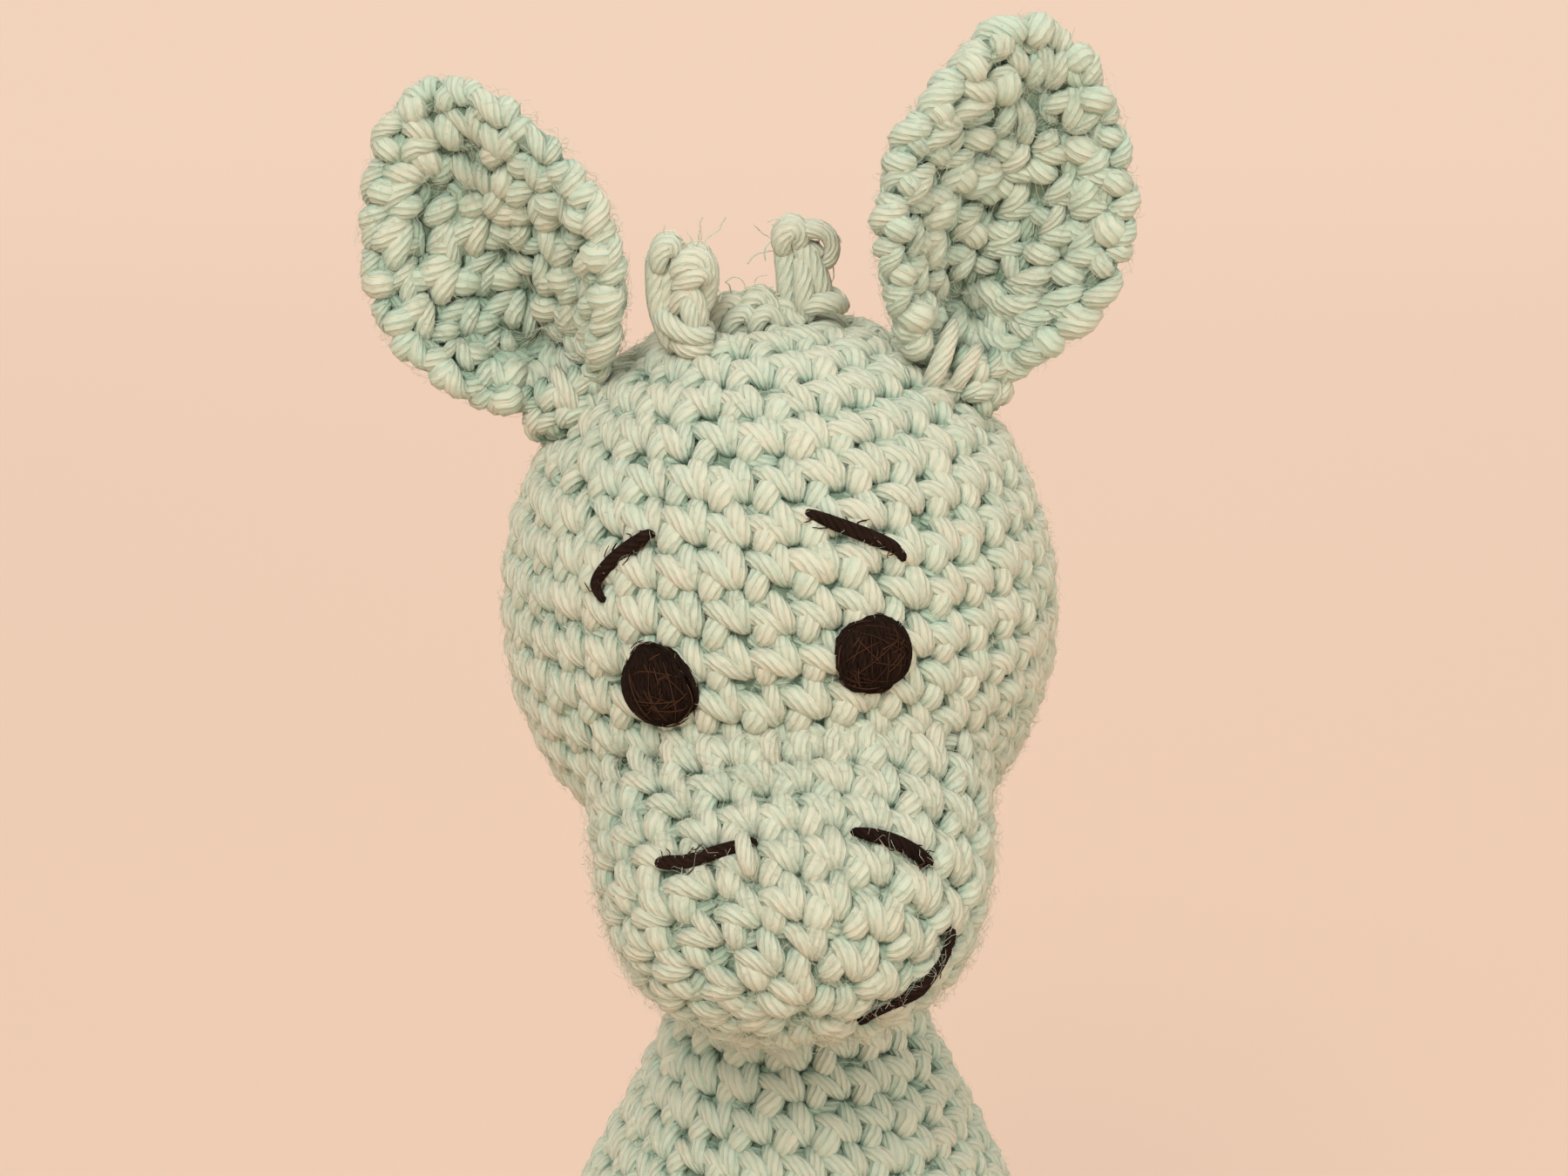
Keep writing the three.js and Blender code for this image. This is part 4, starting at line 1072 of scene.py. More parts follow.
class DOLL_OT_trunk(bpy.types.Operator):
    """Stuffs the trunk and lays its rounds of stitches"""
    bl_idname = "doll.trunk"
    bl_label = "Trunk"

    def execute(self, context):
        heights = np.linspace(TRUNK_MIDDLE, TRUNK_TOP, 24)
        lean = [NECK_LEAN * smoothstep(h, NECK_LEANS_FROM, NECK_LEANS_TO) for h in heights]
        line = [Vector((x, 0, h)) * MM for x, h in zip(lean, heights)]
        stations = stations_on(line, Vector((1, 0, 0)), np.linspace(-88, -4, 20), [])
        crochet("trunk", Gauge(stations), "trunk", voxel=4, start=2, end=0, seed=11, floor=0.0)
        return {"FINISHED"}


class DOLL_OT_head(bpy.types.Operator):
    """Stuffs the head and lays its rounds of stitches"""
    bl_idname = "doll.head"
    bl_label = "Head"

    def execute(self, context):
        side, axis = HEAD_TURN @ Vector((1, 0, 0)), HEAD_TURN @ UP
        stations = fan(HEAD @ HEAD_CENTRE, side, axis, np.linspace(-76, 89, 60))
        crochet("head", Gauge(stations), "head", voxel=4, start=1, end=1, seed=23)
        return {"FINISHED"}


class DOLL_OT_muzzle(bpy.types.Operator):
    """Stuffs the muzzle and lays its rounds of stitches from its tip"""
    bl_idname = "doll.muzzle"
    bl_label = "Muzzle"

    def execute(self, context):
        side, axis = HEAD_TURN @ Vector((-1, 0, 0)), HEAD_TURN @ -MUZZLE_AHEAD
        stations = fan(HEAD @ MUZZLE_CENTRE, side, axis, np.linspace(-89, 60, 52))
        covered = inside(tree_of(bpy.data.objects["head_pad"]), margin=1.2 * MM)
        crochet("muzzle", Gauge(stations), "head", voxel=3.5, start=1, end=0, seed=37,
                keep=lambda point: not covered(point), deep=MUZZLE_PAD_DEEP)
        return {"FINISHED"}


def limb_stations(line, turn):
    """Stations from a limb's tip to its root, in the upright plane at a turn about the trunk."""
    out = level(turn)
    points = [(out * distance + UP * height) * MM for distance, height in reversed(line)]
    return stations_on(finer(points, 3), UP.cross(out), np.linspace(-88, -6, 12), np.linspace(15, 80, 5))


class DOLL_OT_limbs(bpy.types.Operator):
    """Stuffs the arms and legs and lays their rounds of stitches from the tips"""
    bl_idname = "doll.limbs"
    bl_label = "Arms and legs"

    def execute(self, context):
        legs = math.radians(LEG_TURN)
        limbs = [
            ("left_arm", ARM_LINE, math.pi, 41), ("right_arm", ARM_LINE, 0, 43),
            ("left_leg", LEG_LINE, -math.pi / 2 - legs, 47), ("right_leg", LEG_LINE, -math.pi / 2 + legs, 53),
        ]
        for name, line, turn, seed in limbs:
            gauge = Gauge(limb_stations(line, turn), columns=48, reach=0.06)
            crochet(name, gauge, name, voxel=2.2, start=1, end=2, seed=seed, floor=0.0)
        return {"FINISHED"}


def on_head(longitude, latitude, proud=0.0):
    """A point over the head's smooth form."""
    lon, lat = math.radians(longitude), math.radians(latitude)
    half = HEAD_HALF + Vector((proud, proud, proud)) * MM
    x, y = half.x * math.cos(lat) * math.sin(lon), -half.y * math.cos(lat) * math.cos(lon)
    return HEAD @ (HEAD_CENTRE + Vector((x, y, half.z * math.sin(lat))))


def on_muzzle(angle, off_tip, proud=0.0):
    """A point over the muzzle's smooth form."""
    around, polar = math.radians(angle), math.radians(off_tip)
    across = squared(math.sin(polar), MUZZLE_BLUNT)
    half = [(size + proud) * MM for size in MUZZLE_HALF]
    x = half[0] * squared(math.cos(around), MUZZLE_SQUARE) * across
    y = half[1] * squared(math.sin(around), MUZZLE_SQUARE) * across
    z = half[2] * squared(math.cos(polar), MUZZLE_BLUNT)
    return HEAD @ (MUZZLE_CENTRE + Vector((1, 0, 0)) * x + MUZZLE_UP * y + MUZZLE_AHEAD * z)


def line_strand(work, points, outward, radii):
    """Lays one strand through points, with the way out of the surface and the radius at each, or one for all."""
    strand, count = work.strand, len(points)
    outward = [outward] * count if isinstance(outward, Vector) else outward
    radii = np.broadcast_to(np.asarray(radii, float), (count,))
    weights = strand.weights(count)
    ring_radii = weights @ radii
    work.add(
        (weights @ np.array(points, float))[None], (weights @ np.array(outward, float))[None],
        np.maximum(ring_radii, 0.1 * MM)[None])


class EarLeaf:
    """The cupped leaf of one ear, flattened to millimetres across and along."""

    def __init__(self, side, long, wide, lean):
        self.long, self.wide = long, wide
        lean_out = Matrix.Rotation(side * math.radians(lean), 4, "Y")
        turn_out = Matrix.Rotation(side * math.radians(EAR_TURN), 4, "Z")
        foot = HEAD.inverted() @ on_head(side * EAR_PLACE[0], EAR_PLACE[1], 0.9)
        self.matrix = HEAD @ Matrix.Translation(foot) @ (lean_out @ turn_out)
        self.widths = self.smoothed(EAR_WIDTHS)
        self.folds = self.smoothed([(place, math.radians(fold)) for place, fold in EAR_FOLDS])

    def smoothed(self, table):
        """A table along the leaf, read finely and smoothed away from its ends."""
        places = np.linspace(0, 1, 41)
        values = np.interp(places, *zip(*table))
        inner = np.convolve(np.pad(values, 2, mode="edge"), np.ones(5) / 5, "valid")
        return places, np.where((places > 0.08) & (places < 0.92), inner, values)

    def bent(self, place):
        """The fold and the half width of the leaf at a share of its length."""
        return np.interp(place, *self.folds), self.wide / 2 * np.interp(place, *self.widths)

    def arc(self, place):
        """Half the width of the leaf when it is laid flat."""
        fold, half = self.bent(place)
        return half / np.sin(fold) * fold

    def point(self, across, along, proud):
        """A point on the leaf: flattened millimetres across and along, and how far it is to the back."""
        place = min(max(along / self.long, 0), 1)
        fold, half = self.bent(place)
        radius = half / math.sin(fold)
        angle = across / radius
        y = -radius * (1 - math.cos(angle)) + proud * math.cos(angle) - EAR_CURL * place ** 2
        depth, width = EAR_CREASE
        crease = math.exp(-(across / width) ** 2) * smoothstep(place, 0.02, 0.2) * (1 - smoothstep(place, 0.4, 0.75))
        x = (radius + proud) * math.sin(angle)
        return self.matrix @ (Vector((x, y + depth * crease, along)) * MM)

    def outline(self, columns):
        """Points round the rim of the flattened leaf, evenly spaced, with the nearest points of its spine."""
        fine = []
        for turn in np.linspace(0, 2 * math.pi, 721):
            place = 0.5 - 0.5 * math.cos(turn)
            side = -math.sin(turn)
            reach = max(self.arc(0.02 + 0.96 * place) - EAR_INSET, 1) * min(1, abs(side) * 2.2)
            fine.append((math.copysign(reach, side), EAR_INSET + place * (self.long - 2 * EAR_INSET)))
        fine = np.array(fine)
        run = run_along(fine)
        places = np.arange(columns) / columns * run[-1]
        rim = np.stack([np.interp(places, run, fine[:, i]) for i in (0, 1)], axis=1)
        low, high = (share * self.long for share in EAR_SPINE)
        return rim, np.stack([np.zeros(columns), np.clip(rim[:, 1], low, high)], axis=1)

    def skin(self, half, columns=96):
        """The leaf's surface from the spine of its front out to the rim, round it and back over its back."""
        rim, spine = self.outline(columns)
        reach = lengths(spine - rim)
        inward = unit(spine - rim)
        depths = np.arange(EAR_DEEP, -0.5, -1.0)
        rows = [(depth, -math.pi / 2) for depth in depths]
        rows += [(0.0, angle) for angle in np.linspace(-math.pi / 2, math.pi / 2, 7)[1:-1]]
        rows += [(depth, math.pi / 2) for depth in depths[::-1]]
        run = [0.0]
        for (a, turn_a), (b, turn_b) in zip(rows, rows[1:]):
            run.append(run[-1] + abs(b - a) + (turn_b - turn_a) * (half + 1))
        layers = []
        for thick in (half, half + 0.5):
            grid = []
            for depth, angle in rows:
                flat = rim + inward * (np.minimum(depth, reach) - thick * math.cos(angle))
                grid.append([self.point(*place, thick * math.sin(angle)) for place in flat])
            layers.append(np.array(grid, float))
        return Skin(layers[0], layers[1] - layers[0], np.array(run) * MM)


def rounds_by_length(skin, distances, wide):
    """Stitch places in rounds whose stitches are evenly spaced by length rather than by turns."""
    places = []
    turns = np.linspace(0, 1, 361)
    for row, distance in enumerate(distances):
        points, _ = skin.at(np.full(len(turns), distance), turns)
        run = run_along(points)
        count = max(3, round(run[-1] / wide))
        at = (np.arange(count) + TURN_DRIFT * row % 1) / count * run[-1] % run[-1]
        middle = np.interp(at, run, turns)
        speed = np.interp(at, run, np.gradient(run, turns))
        kept = speed > 0.55 * np.median(speed)
        places += [(distance, turn, pace / wide) for turn, pace in zip(middle[kept], speed[kept])]
    return np.array(places)


class DOLL_OT_ears(bpy.types.Operator):
    """Crochets both cupped ears, from the fold out over the rim to the back"""
    bl_idname = "doll.ears"
    bl_label = "Ears"

    def execute(self, context):
        yarn = context.scene.doll_yarn
        covered = inside(tree_of(bpy.data.objects["head_pad"]), margin=1.0 * MM)

        def clear(point):
            return not covered(point)

        for name, ear in EARS.items():
            leaf = EarLeaf(**ear)
            skin = SKINS[name] = leaf.skin(EAR_HALF)
            core = closed_pad(f"{name}_core", skin)
            work = Yarnwork(strand_of(), EAR_SEEDS[name], *TONES[name])
            middle = skin.run[-1] / 2
            places = rounds_by_length(skin, [middle + offset * MM for offset in EAR_ROUNDS], yarn.stitch_wide)
            lay_stitches(work, skin, places, yarn.stitch_tall * 0.98, scale=0.99, jitter=1.9, keep=clear)
            fill_gaps(work, core, leaf.matrix.to_3x3() @ UP, clear)
            stitches = work.finish(f"{name}_stitches", finish_named("mint_yarn"))
            hand_over(stitches, name, "mint_cotton", name)
            hand_over(core, name, "mint_cotton")
        return {"FINISHED"}


class DOLL_OT_horns(bpy.types.Operator):
    """Lays the looped chains of the two horns"""
    bl_idname = "doll.horns"
    bl_label = "Horns"

    def execute(self, context):
        for name, horn in HORNS.items():
            work = Yarnwork(strand_of(rings=13), horn["seed"])
            base = on_head(*horn["place"], -0.6)
            for side in (-1, 1):
                outward = HEAD_TURN @ Vector((0, side, 0.05))
                for rows in horn["strands"]:
                    points = [base + HEAD_TURN @ (Vector((x, side * (y + 0.25), z)) * MM) for x, y, z, _ in rows]
                    line_strand(work, points, outward, [row[3] * HORN_FULL * MM for row in rows])
            obj = work.finish(name + "_loops", finish_named("mint_yarn"))
            hand_over(obj, "head", "mint_chain", *([name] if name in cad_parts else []))
            strays = self.strays(base, max(row[2] for rows in horn["strands"] for row in rows), horn["seed"] + 1)
            hand_over(strays.finish(name + "_strays", finish_named("loose_fibre")), "head", "mint_chain")
        return {"FINISHED"}

    def strays(self, base, tall, seed):
        """Thin fibres that curl off the top of a horn."""
        work = Yarnwork(strand_of(sides=3, rings=19), seed)
        rng = work.rng
        for _ in range(HORN_FIBRES):
            place = np.array([rng.uniform(*span) for span in HORN_FIBRE_STARTS]) * (1, 1, tall)
            heading, bend = rng.uniform(0, math.pi), rng.normal(0, 0.5)
            step = rng.uniform(*HORN_FIBRE_STEP)
            points = []
            for _ in range(9):
                points.append(base + HEAD_TURN @ (Vector(place) * MM))
                heading += bend + rng.normal(0, 0.25)
                place += np.array([math.cos(heading), rng.normal(0, 0.3), math.sin(heading)]) * step
            line_strand(work, points, HEAD_TURN @ Vector((0, -1, 0.05)), rng.uniform(*HORN_FIBRE_RADII) * MM)
        return work


def over(tree, place, outward, lift):
    """The point at a height over a pad, on the line through a place along the way out."""
    hit = tree.ray_cast(place + outward * 15 * MM, -outward, 40 * MM)[0]
    return (hit or place) + outward * lift * MM


class DOLL_OT_eyes(bpy.types.Operator):
    """Covers a low dome with satin stitches for each eye"""
    bl_idname = "doll.eyes"
    bl_label = "Eyes"

    def execute(self, context):
        pad = tree_of(bpy.data.objects["head_pad"])
        half = Vector(EYE_HALF)
        for name, eye in EYES.items():
            work = Yarnwork(strand_of(rings=17), eye["seed"])
            centre = on_head(*eye["place"])
            out = (on_head(*eye["place"], 1) - centre).normalized()
            across = UP.cross(out).normalized()
            axes = (over(pad, centre, out, EYE_BASE), across, out.cross(across), out)
            for size, turn, count, radius, scatter in EYE_LAYERS:
                grain = math.radians(eye["grain"]) + (eye["stray"] if turn is None else turn)
                self.lay(work, axes, half * size, grain, eye["drop"], count, radius, scatter)
            hand_over(work.finish(name + "_satin", finish_named("face_yarn")), "head", "black_yarn", name)
            wisps = Yarnwork(strand_of(sides=3, rings=6), eye["seed"] + 1)
            for _ in range(EYE_FIBRES):
                grown = half * wisps.rng.uniform(1.0, 1.06)
                lift = wisps.rng.uniform(0.26, 0.48)
                grain = wisps.rng.uniform(0, 6.28)
                self.lay(wisps, axes, grown, grain, eye["drop"], 1, EYE_FIBRE_RADIUS, 0.7, lift)
            hand_over(wisps.finish(name + "_fibres", finish_named("brown_fibre")), "head", "black_yarn")
        return {"FINISHED"}

    def lay(self, work, axes, half, grain, drop, count, radius, scatter, lift=0.0):
        """Strands side by side over the dome, drawn together at both ends."""
        centre, across, up, out = axes
        for k in range(count):
            side = -1 + (2 * k + 1) / count + work.rng.normal(0, scatter)
            side = min(max(side, -1), 1)
            points, radii = [], []
            ends = (-1, 1) if count > 1 else sorted(work.rng.uniform(-0.9, 0.9, 2))
            for t in np.linspace(*ends, 9):
                q = side * (1 - abs(t) ** 2.2) ** 0.5
                x = -math.sin(grain) * q + math.cos(grain) * t
                y = math.cos(grain) * q + math.sin(grain) * t
                angle = math.atan2(y, x)
                grow = 1 + drop * max(0, math.cos(angle - EYE_POINT)) ** 6
                rise = max(0, 1 - (x * x + y * y)) ** 0.55
                place = across * (x * half.x * grow) + up * (y * half.y * grow) + out * (half.z * rise + lift)
                points.append(centre + place * MM)
                radii.append(radius * (1 - 0.45 * abs(t) ** 4) * MM)
            line_strand(work, points, out, radii)


class DOLL_OT_face_lines(bpy.types.Operator):
    """Lays the eyebrows, the nostrils and the mouth in dark yarn"""
    bl_idname = "doll.face_lines"
    bl_label = "Brows, nostrils and mouth"

    def execute(self, context):
        seed = 89
        head, muzzle = (tree_of(bpy.data.objects[pad]) for pad in ("head_pad", "muzzle_pad"))
        for table, surface, pad in ((BROWS, on_head, head), (MUZZLE_LINES, on_muzzle, muzzle)):
            for name, (places, widths) in table.items():
                steps = Strand.weights_at(np.linspace(0, 1, 11), len(places)) @ np.array(places, float)
                outward = [self.way_out(surface, place) for place in steps]
                points = [over(pad, surface(*place), out, LINE_LIFT) for place, out in zip(steps, outward)]
                points = [points[0] - outward[0] * 1.5 * MM, *points, points[-1] - outward[-1] * 1.5 * MM]
                outward = [outward[0], *outward, outward[-1]]
                radii = Strand.weights_at(np.linspace(0, 1, len(points)), len(widths)) @ np.array(widths, float)
                radii = radii * LINE_RADIUS * MM
                work = Yarnwork(strand_of(sides=10, rings=25), seed)
                line_strand(work, points, outward, radii)
                hand_over(work.finish(name + "_yarn", finish_named("face_yarn")), "head", "black_yarn", name)
                fibres = self.loose_fibres(points, outward, radii, seed + 100)
                hand_over(fibres.finish(name + "_fibres", finish_named("brown_fibre")), "head", "black_yarn")
                seed += 1
        leg = Yarnwork(strand_of(), seed)
        outward = [self.way_out(on_muzzle, row[:2]) for row in NOSTRIL_LEG]
        points = [over(muzzle, on_muzzle(*row[:2]), out, row[2]) for row, out in zip(NOSTRIL_LEG, outward)]
        line_strand(leg, points, outward, [row[3] * MM for row in NOSTRIL_LEG])
        hand_over(leg.finish("nostril_crossing", finish_named("mint_yarn")), "head", "mint_cotton")
        return {"FINISHED"}

    def way_out(self, surface, place):
        """The direction out of a smooth form at a place on it."""
        return (surface(*place, 2) - surface(*place, 0)).normalized()

    def loose_fibres(self, points, outward, radii, seed):
        """Short fibres that stand off both sides of a line of yarn."""
        work = Yarnwork(strand_of(sides=3, rings=6), seed)
        rng = work.rng
        for _ in range(LINE_FIBRES):
            k = rng.integers(1, len(points) - 2)
            base = points[k].lerp(points[k + 1], rng.random())
            out = outward[k]
            along = (points[k + 1] - points[k]).normalized() * rng.choice((-1, 1))
            side = out.cross(along)
            wide = radii[k] * 0.75
            reach = rng.uniform(0.2, 1.2) * MM
            curl, rise = rng.uniform(-0.4, 2.0), rng.uniform(0, 0.5) * MM
            path = [
                base + out * wide, base + out * wide * 0.7 + side * wide * 0.8,
                base + side * (wide + reach * 0.5) + along * (reach * 0.3) + out * (wide * 0.4 + rise * 0.6),
                base + side * (wide + reach) + along * (reach * curl) + out * (wide * 0.2 + rise),
            ]
            line_strand(work, path, out, LINE_FIBRE_RADIUS * MM)
        return work


def whip(work, centres, outward, across, reach, radius, lean=0.35):
    """Short strands that bind two pieces along a line: each passes from one side of the line to the other."""
    along = unit(np.roll(centres, -1, axis=0) - np.roll(centres, 1, axis=0))
    rows = [
        centres + (across + along * lean * place) * (place * reach) + outward * (height * radius)
        for place, height, _ in WHIP]
    weights = work.strand.weights(len(WHIP))
    rings = np.einsum("rc,ncd->nrd", weights, np.stack(rows, axis=1))
    full = weights @ np.array([row[2] for row in WHIP])
    radii = np.tile(full, (len(centres), 1)) * radius * work.rng.normal(1, WHIP_RADII, (len(centres), 1))
    work.add(rings, np.repeat(outward[:, None], rings.shape[1], axis=1), radii)


def whip_round(work, skin, distance, count, reach, radius, proud):
    """Whip stitches all round a skin at a distance along it, or at one distance for each stitch."""
    turns = np.arange(count) / count
    distance = np.broadcast_to(np.asarray(distance, float), (count,))
    points, normals = skin.at(distance, turns)
    ahead, _ = skin.at(distance + 0.6 * MM, turns)
    behind, _ = skin.at(distance - 0.6 * MM, turns)
    whip(work, points + normals * proud * MM, normals, unit(ahead - behind), reach * MM, radius * MM)


def landing(skin, covered, count):
    """For each of several turns round a skin, the distance at which it meets a body."""
    found = []
    distances = np.linspace(0, skin.run[-1], 120)
    for turn in np.arange(count) / count:
        points, _ = skin.at(distances, np.full(len(distances), turn))
        met = [d for d, p in zip(distances, points) if covered(Vector(p))]
        found.append(met[0] if met else skin.run[-1])
    return np.array(found)


class DOLL_OT_seams(bpy.types.Operator):
    """Sews the pieces together with whip stitches"""
    bl_idname = "doll.seams"
    bl_label = "Seams"

    def execute(self, context):
        head = tree_of(bpy.data.objects["head_pad"])
        yarn = finish_named("mint_yarn")
        muzzle = Yarnwork(strand_of(), 97, tone=0.2)
        covered = inside(head, margin=MUZZLE_SEAM_OVER * MM)
        meets = landing(SKINS["muzzle"], covered, SKIN_WHIPS["muzzle"][0])
        whip_round(muzzle, SKINS["muzzle"], meets, *SKIN_WHIPS["muzzle"])
        hand_over(muzzle.finish("muzzle_whip_stitches", yarn), "head", "sewing_yarn", "muzzle_seam")
        for name in EARS:
            work = self.ear_foot(name)
            hand_over(work.finish(f"{name}_whip_stitches", yarn), "head", "sewing_yarn", f"{name}_seam")
        for name in ("left_arm", "right_arm", "left_leg", "right_leg"):
            work = Yarnwork(strand_of(), 103)
            skin = SKINS[name]
            whip_round(work, skin, skin.run[-1] - LIMB_SEAM_IN * MM, *SKIN_WHIPS[name.split("_")[1]])
            hand_over(work.finish(f"{name}_whip_stitches", yarn, 0.0), "trunk", "sewing_yarn", f"{name}_seam")
        self.neck(yarn)
        return {"FINISHED"}

    def ear_foot(self, name):
        """Strands that bind an ear's folded foot to the head."""
        work = Yarnwork(strand_of(), 101)
        leaf = EarLeaf(**EARS[name])
        turns = np.linspace(0, 2 * np.pi, 48, endpoint=False)
        rounds = []
        for height, half_x, half_y in EAR_COLLAR:
            ring = [Vector((half_x * math.cos(t), EAR_FOOT_Y - half_y * math.sin(t), height)) * MM for t in turns]
            rounds.append([leaf.matrix @ p for p in ring])
        collar = Skin(np.array(rounds, float))
        middle = leaf.matrix @ Vector((0, EAR_FOOT_Y * MM, 0))
        if Vector(collar.normals[0, 0]).dot(Vector(collar.points[0, 0]) - middle) < 0:
            collar.normals *= -1
        places = [(distance * MM, (k + phase) / 8, 8) for distance, phase in EAR_COLLAR_ROUNDS for k in range(8)]
        lay_stitches(work, collar, np.array(places), 3.6 * MM, scale=0.78, jitter=2.2)
        for rows in EAR_TIES[name]:
            points = [leaf.matrix @ (Vector(row[:3]) * MM) for row in rows]
            line_strand(work, points, leaf.matrix.to_3x3() @ -BACK, [row[3] * MM for row in rows])
        return work

    def neck(self, yarn):
        """A firm core and a ring of stitches between the trunk and the head."""
        axis = (HEAD_TURN @ UP + UP).normalized()
        side = BACK.cross(axis)
        ring = ways_round(side, BACK, NECK_WHIPS)
        work = Yarnwork(strand_of(), 107)
        centres = np.array([NECK + way * NECK_WHIPS_OUT * MM for way in ring])
        across = np.array([axis] * len(ring))
        whip(work, centres, np.array(ring), across, NECK_WHIP_REACH * MM, NECK_WHIP_RADIUS * MM, lean=0.5)
        hand_over(work.finish("neck_whip_stitches", yarn), "neck_sewing", "sewing_yarn", "neck_seam")
        rounds = [
            [NECK + axis * height * MM + way * NECK_CORE_RADIUS * MM for way in ways_round(side, BACK, 24)]
            for height in NECK_CORE_HEIGHTS]
        core = closed_pad("neck_core_pad", Skin(np.array(rounds, float)))
        hand_over(core, "neck_core", "fibre_filling", "neck_wad")


class DOLL_OT_tail(bpy.types.Operator):
    """Twists the tail's cord and binds its tassel"""
    bl_idname = "doll.tail"
    bl_label = "Tail"

    def execute(self, context):
        yarn = finish_named("mint_yarn")
        hand_over(self.cord().finish("tail_twist", yarn), "tail", "mint_chain", "tail_cord")
        hand_over(self.tassel().finish("tail_tassel_strands", yarn, 0.4 * MM), "tail", "mint_chain", "tail_tassel")
        seam = Yarnwork(strand_of(), 127)
        root = Vector((0, *TAIL_ROOT)) * MM
        ring = ways_round(Vector((1, 0, 0)), UP, TAIL_WHIPS)
        centres = np.array([root + way * TAIL_WHIPS_OUT * MM for way in ring])
        outward = np.array([(way * 0.8 + BACK).normalized() for way in ring])
        across = np.array([(way - BACK * 0.8).normalized() for way in ring])
        whip(seam, centres, outward, across, TAIL_WHIP_REACH * MM, TAIL_WHIP_RADIUS * MM)
        hand_over(seam.finish("tail_whip_stitches", yarn), "trunk", "sewing_yarn", "tail_seam")
        return {"FINISHED"}

    def cord(self):
        """Strands twisted round each other along the tail."""
        work = Yarnwork(strand_of(rings=49), 109)
        line = [Vector((0, out, height)) * MM for out, height in TAIL_LINE]
        runs = np.linspace(0, len(line) - 1, 25)
        for strand in range(TAIL_STRANDS):
            points, outward = [], []
            for k, run in enumerate(runs):
                low = min(int(run), len(line) - 2)
                middle = line[low].lerp(line[low + 1], run - low)
                way = level(2 * math.pi * (strand / TAIL_STRANDS + TAIL_TWISTS * k / (len(runs) - 1)))
                points.append(middle + way * TAIL_SPREAD * MM)
                outward.append(way)
            line_strand(work, points, outward, TAIL_RADIUS * MM)
        return work

    def tassel(self):
        """A bunch of strands that hangs from the tail's end, bound three times at its top."""
        work = Yarnwork(strand_of(rings=13), 113)
        out = TAIL_LINE[-1][0]
        for k in range(TASSEL_STRANDS):
            way = level(2 * math.pi * k * 0.618)
            spread = math.sqrt((k + 0.5) / TASSEL_STRANDS)
            if way.y < 0:
                way.y *= 0.55
            rows = [*TASSEL_ROWS, (1.15, -TASSEL_LONG - work.rng.uniform(-0.6, 0.5))]
            top = Vector((0, out, TASSEL_TOP)) * MM
            points = [top + (way * (spread * TASSEL_SPREAD * wide) + UP * down) * MM for wide, down in rows]
            line_strand(work, points, way + UP * 0.01, TASSEL_RADIUS * MM)
        for turn in range(TIE_TURNS):
            points, outward = [], []
            for t in np.linspace(0, 2 * math.pi, 9):
                way = level(t)
                height = TASSEL_TOP - TIE_DOWN - TIE_STEP * turn - TIE_DROP * t
                points.append(Vector((way.x * TIE_HALF[0], out + way.y * TIE_HALF[1], height)) * MM)
                outward.append(way)
            line_strand(work, points, outward, TIE_RADIUS * MM)
        return work


class DOLL_OT_fuzz(bpy.types.Operator):
    """Lets fine loose fibres stand out of the yarn"""
    bl_idname = "doll.fuzz"
    bl_label = "Loose fibres"

    def execute(self, context):
        for order, (name, (count, grown)) in enumerate(FUZZ.items()):
            work = self.fibres(SKINS[name], count, grown, 131 + order)
            body = "head" if name == "muzzle" else name
            hand_over(work.finish(f"{name}_fuzz", finish_named("loose_fibre")), body, "mint_cotton")
        return {"FINISHED"}

    def fibres(self, skin, count, grown, seed):
        """Fibres that start in a skin's stitches, wander and rise."""
        work = Yarnwork(strand_of(sides=3, rings=5), seed)
        rng = work.rng
        distance = rng.uniform(0.02, 0.98, count * 2) * skin.run[-1]
        share = skin.girth_at(distance) / skin.girth.max()
        distance = distance[rng.uniform(0, 1, count * 2) < share][:count]
        each, every = (len(distance), 1), (len(distance), FUZZ_STEPS)
        heading = rng.uniform(0, 2 * np.pi, each) + np.cumsum(rng.normal(0, FUZZ_TURNS, every), axis=1)
        length = rng.uniform(*FUZZ_STEP, each) * rng.choice([1, 1, 1, FUZZ_LONG], each) * grown * MM
        path = np.cumsum(np.stack([np.cos(heading), np.sin(heading)], axis=2) * length[..., None], axis=1)
        turns = rng.uniform(0, 1, each)
        girth = np.maximum(skin.girth_at(distance), 5 * MM)[:, None]
        low, high = FUZZ_RISE
        height = FUZZ_BASE + np.cumsum(rng.uniform(low, high * grown, every), axis=1)
        height[:, -1] -= rng.uniform(0, FUZZ_DROOP, len(distance))
        weights = work.strand.weights(FUZZ_STEPS)
        along = (distance[:, None] + path[..., 1]) @ weights.T
        around = (turns + path[..., 0] / girth) @ weights.T
        points, normals = skin.at(along, around)
        centres = points + normals * ((height * MM) @ weights.T)[..., None]
        radii = np.repeat(rng.uniform(*FUZZ_RADII, each) * MM, centres.shape[1], axis=1)
        kept = centres[..., 2].min(axis=1) > 0.3 * MM
        work.add(centres[kept], normals[kept], radii[kept])
        return work


class DOLL_OT_stage(bpy.types.Operator):
    """Sets up the floor, the backdrop, the lamps and the camera"""
    bl_idname = "doll.stage"
    bl_label = "Stage"

    def execute(self, context):
        scene = context.scene
        stage = scene.doll_stage
        add_backdrop(tuple(stage.backdrop))
        add_world(tuple(stage.backdrop))
        add_lamps()
        add_camera(stage.lens)
        scene.view_settings.view_transform = "Standard"
        return {"FINISHED"}


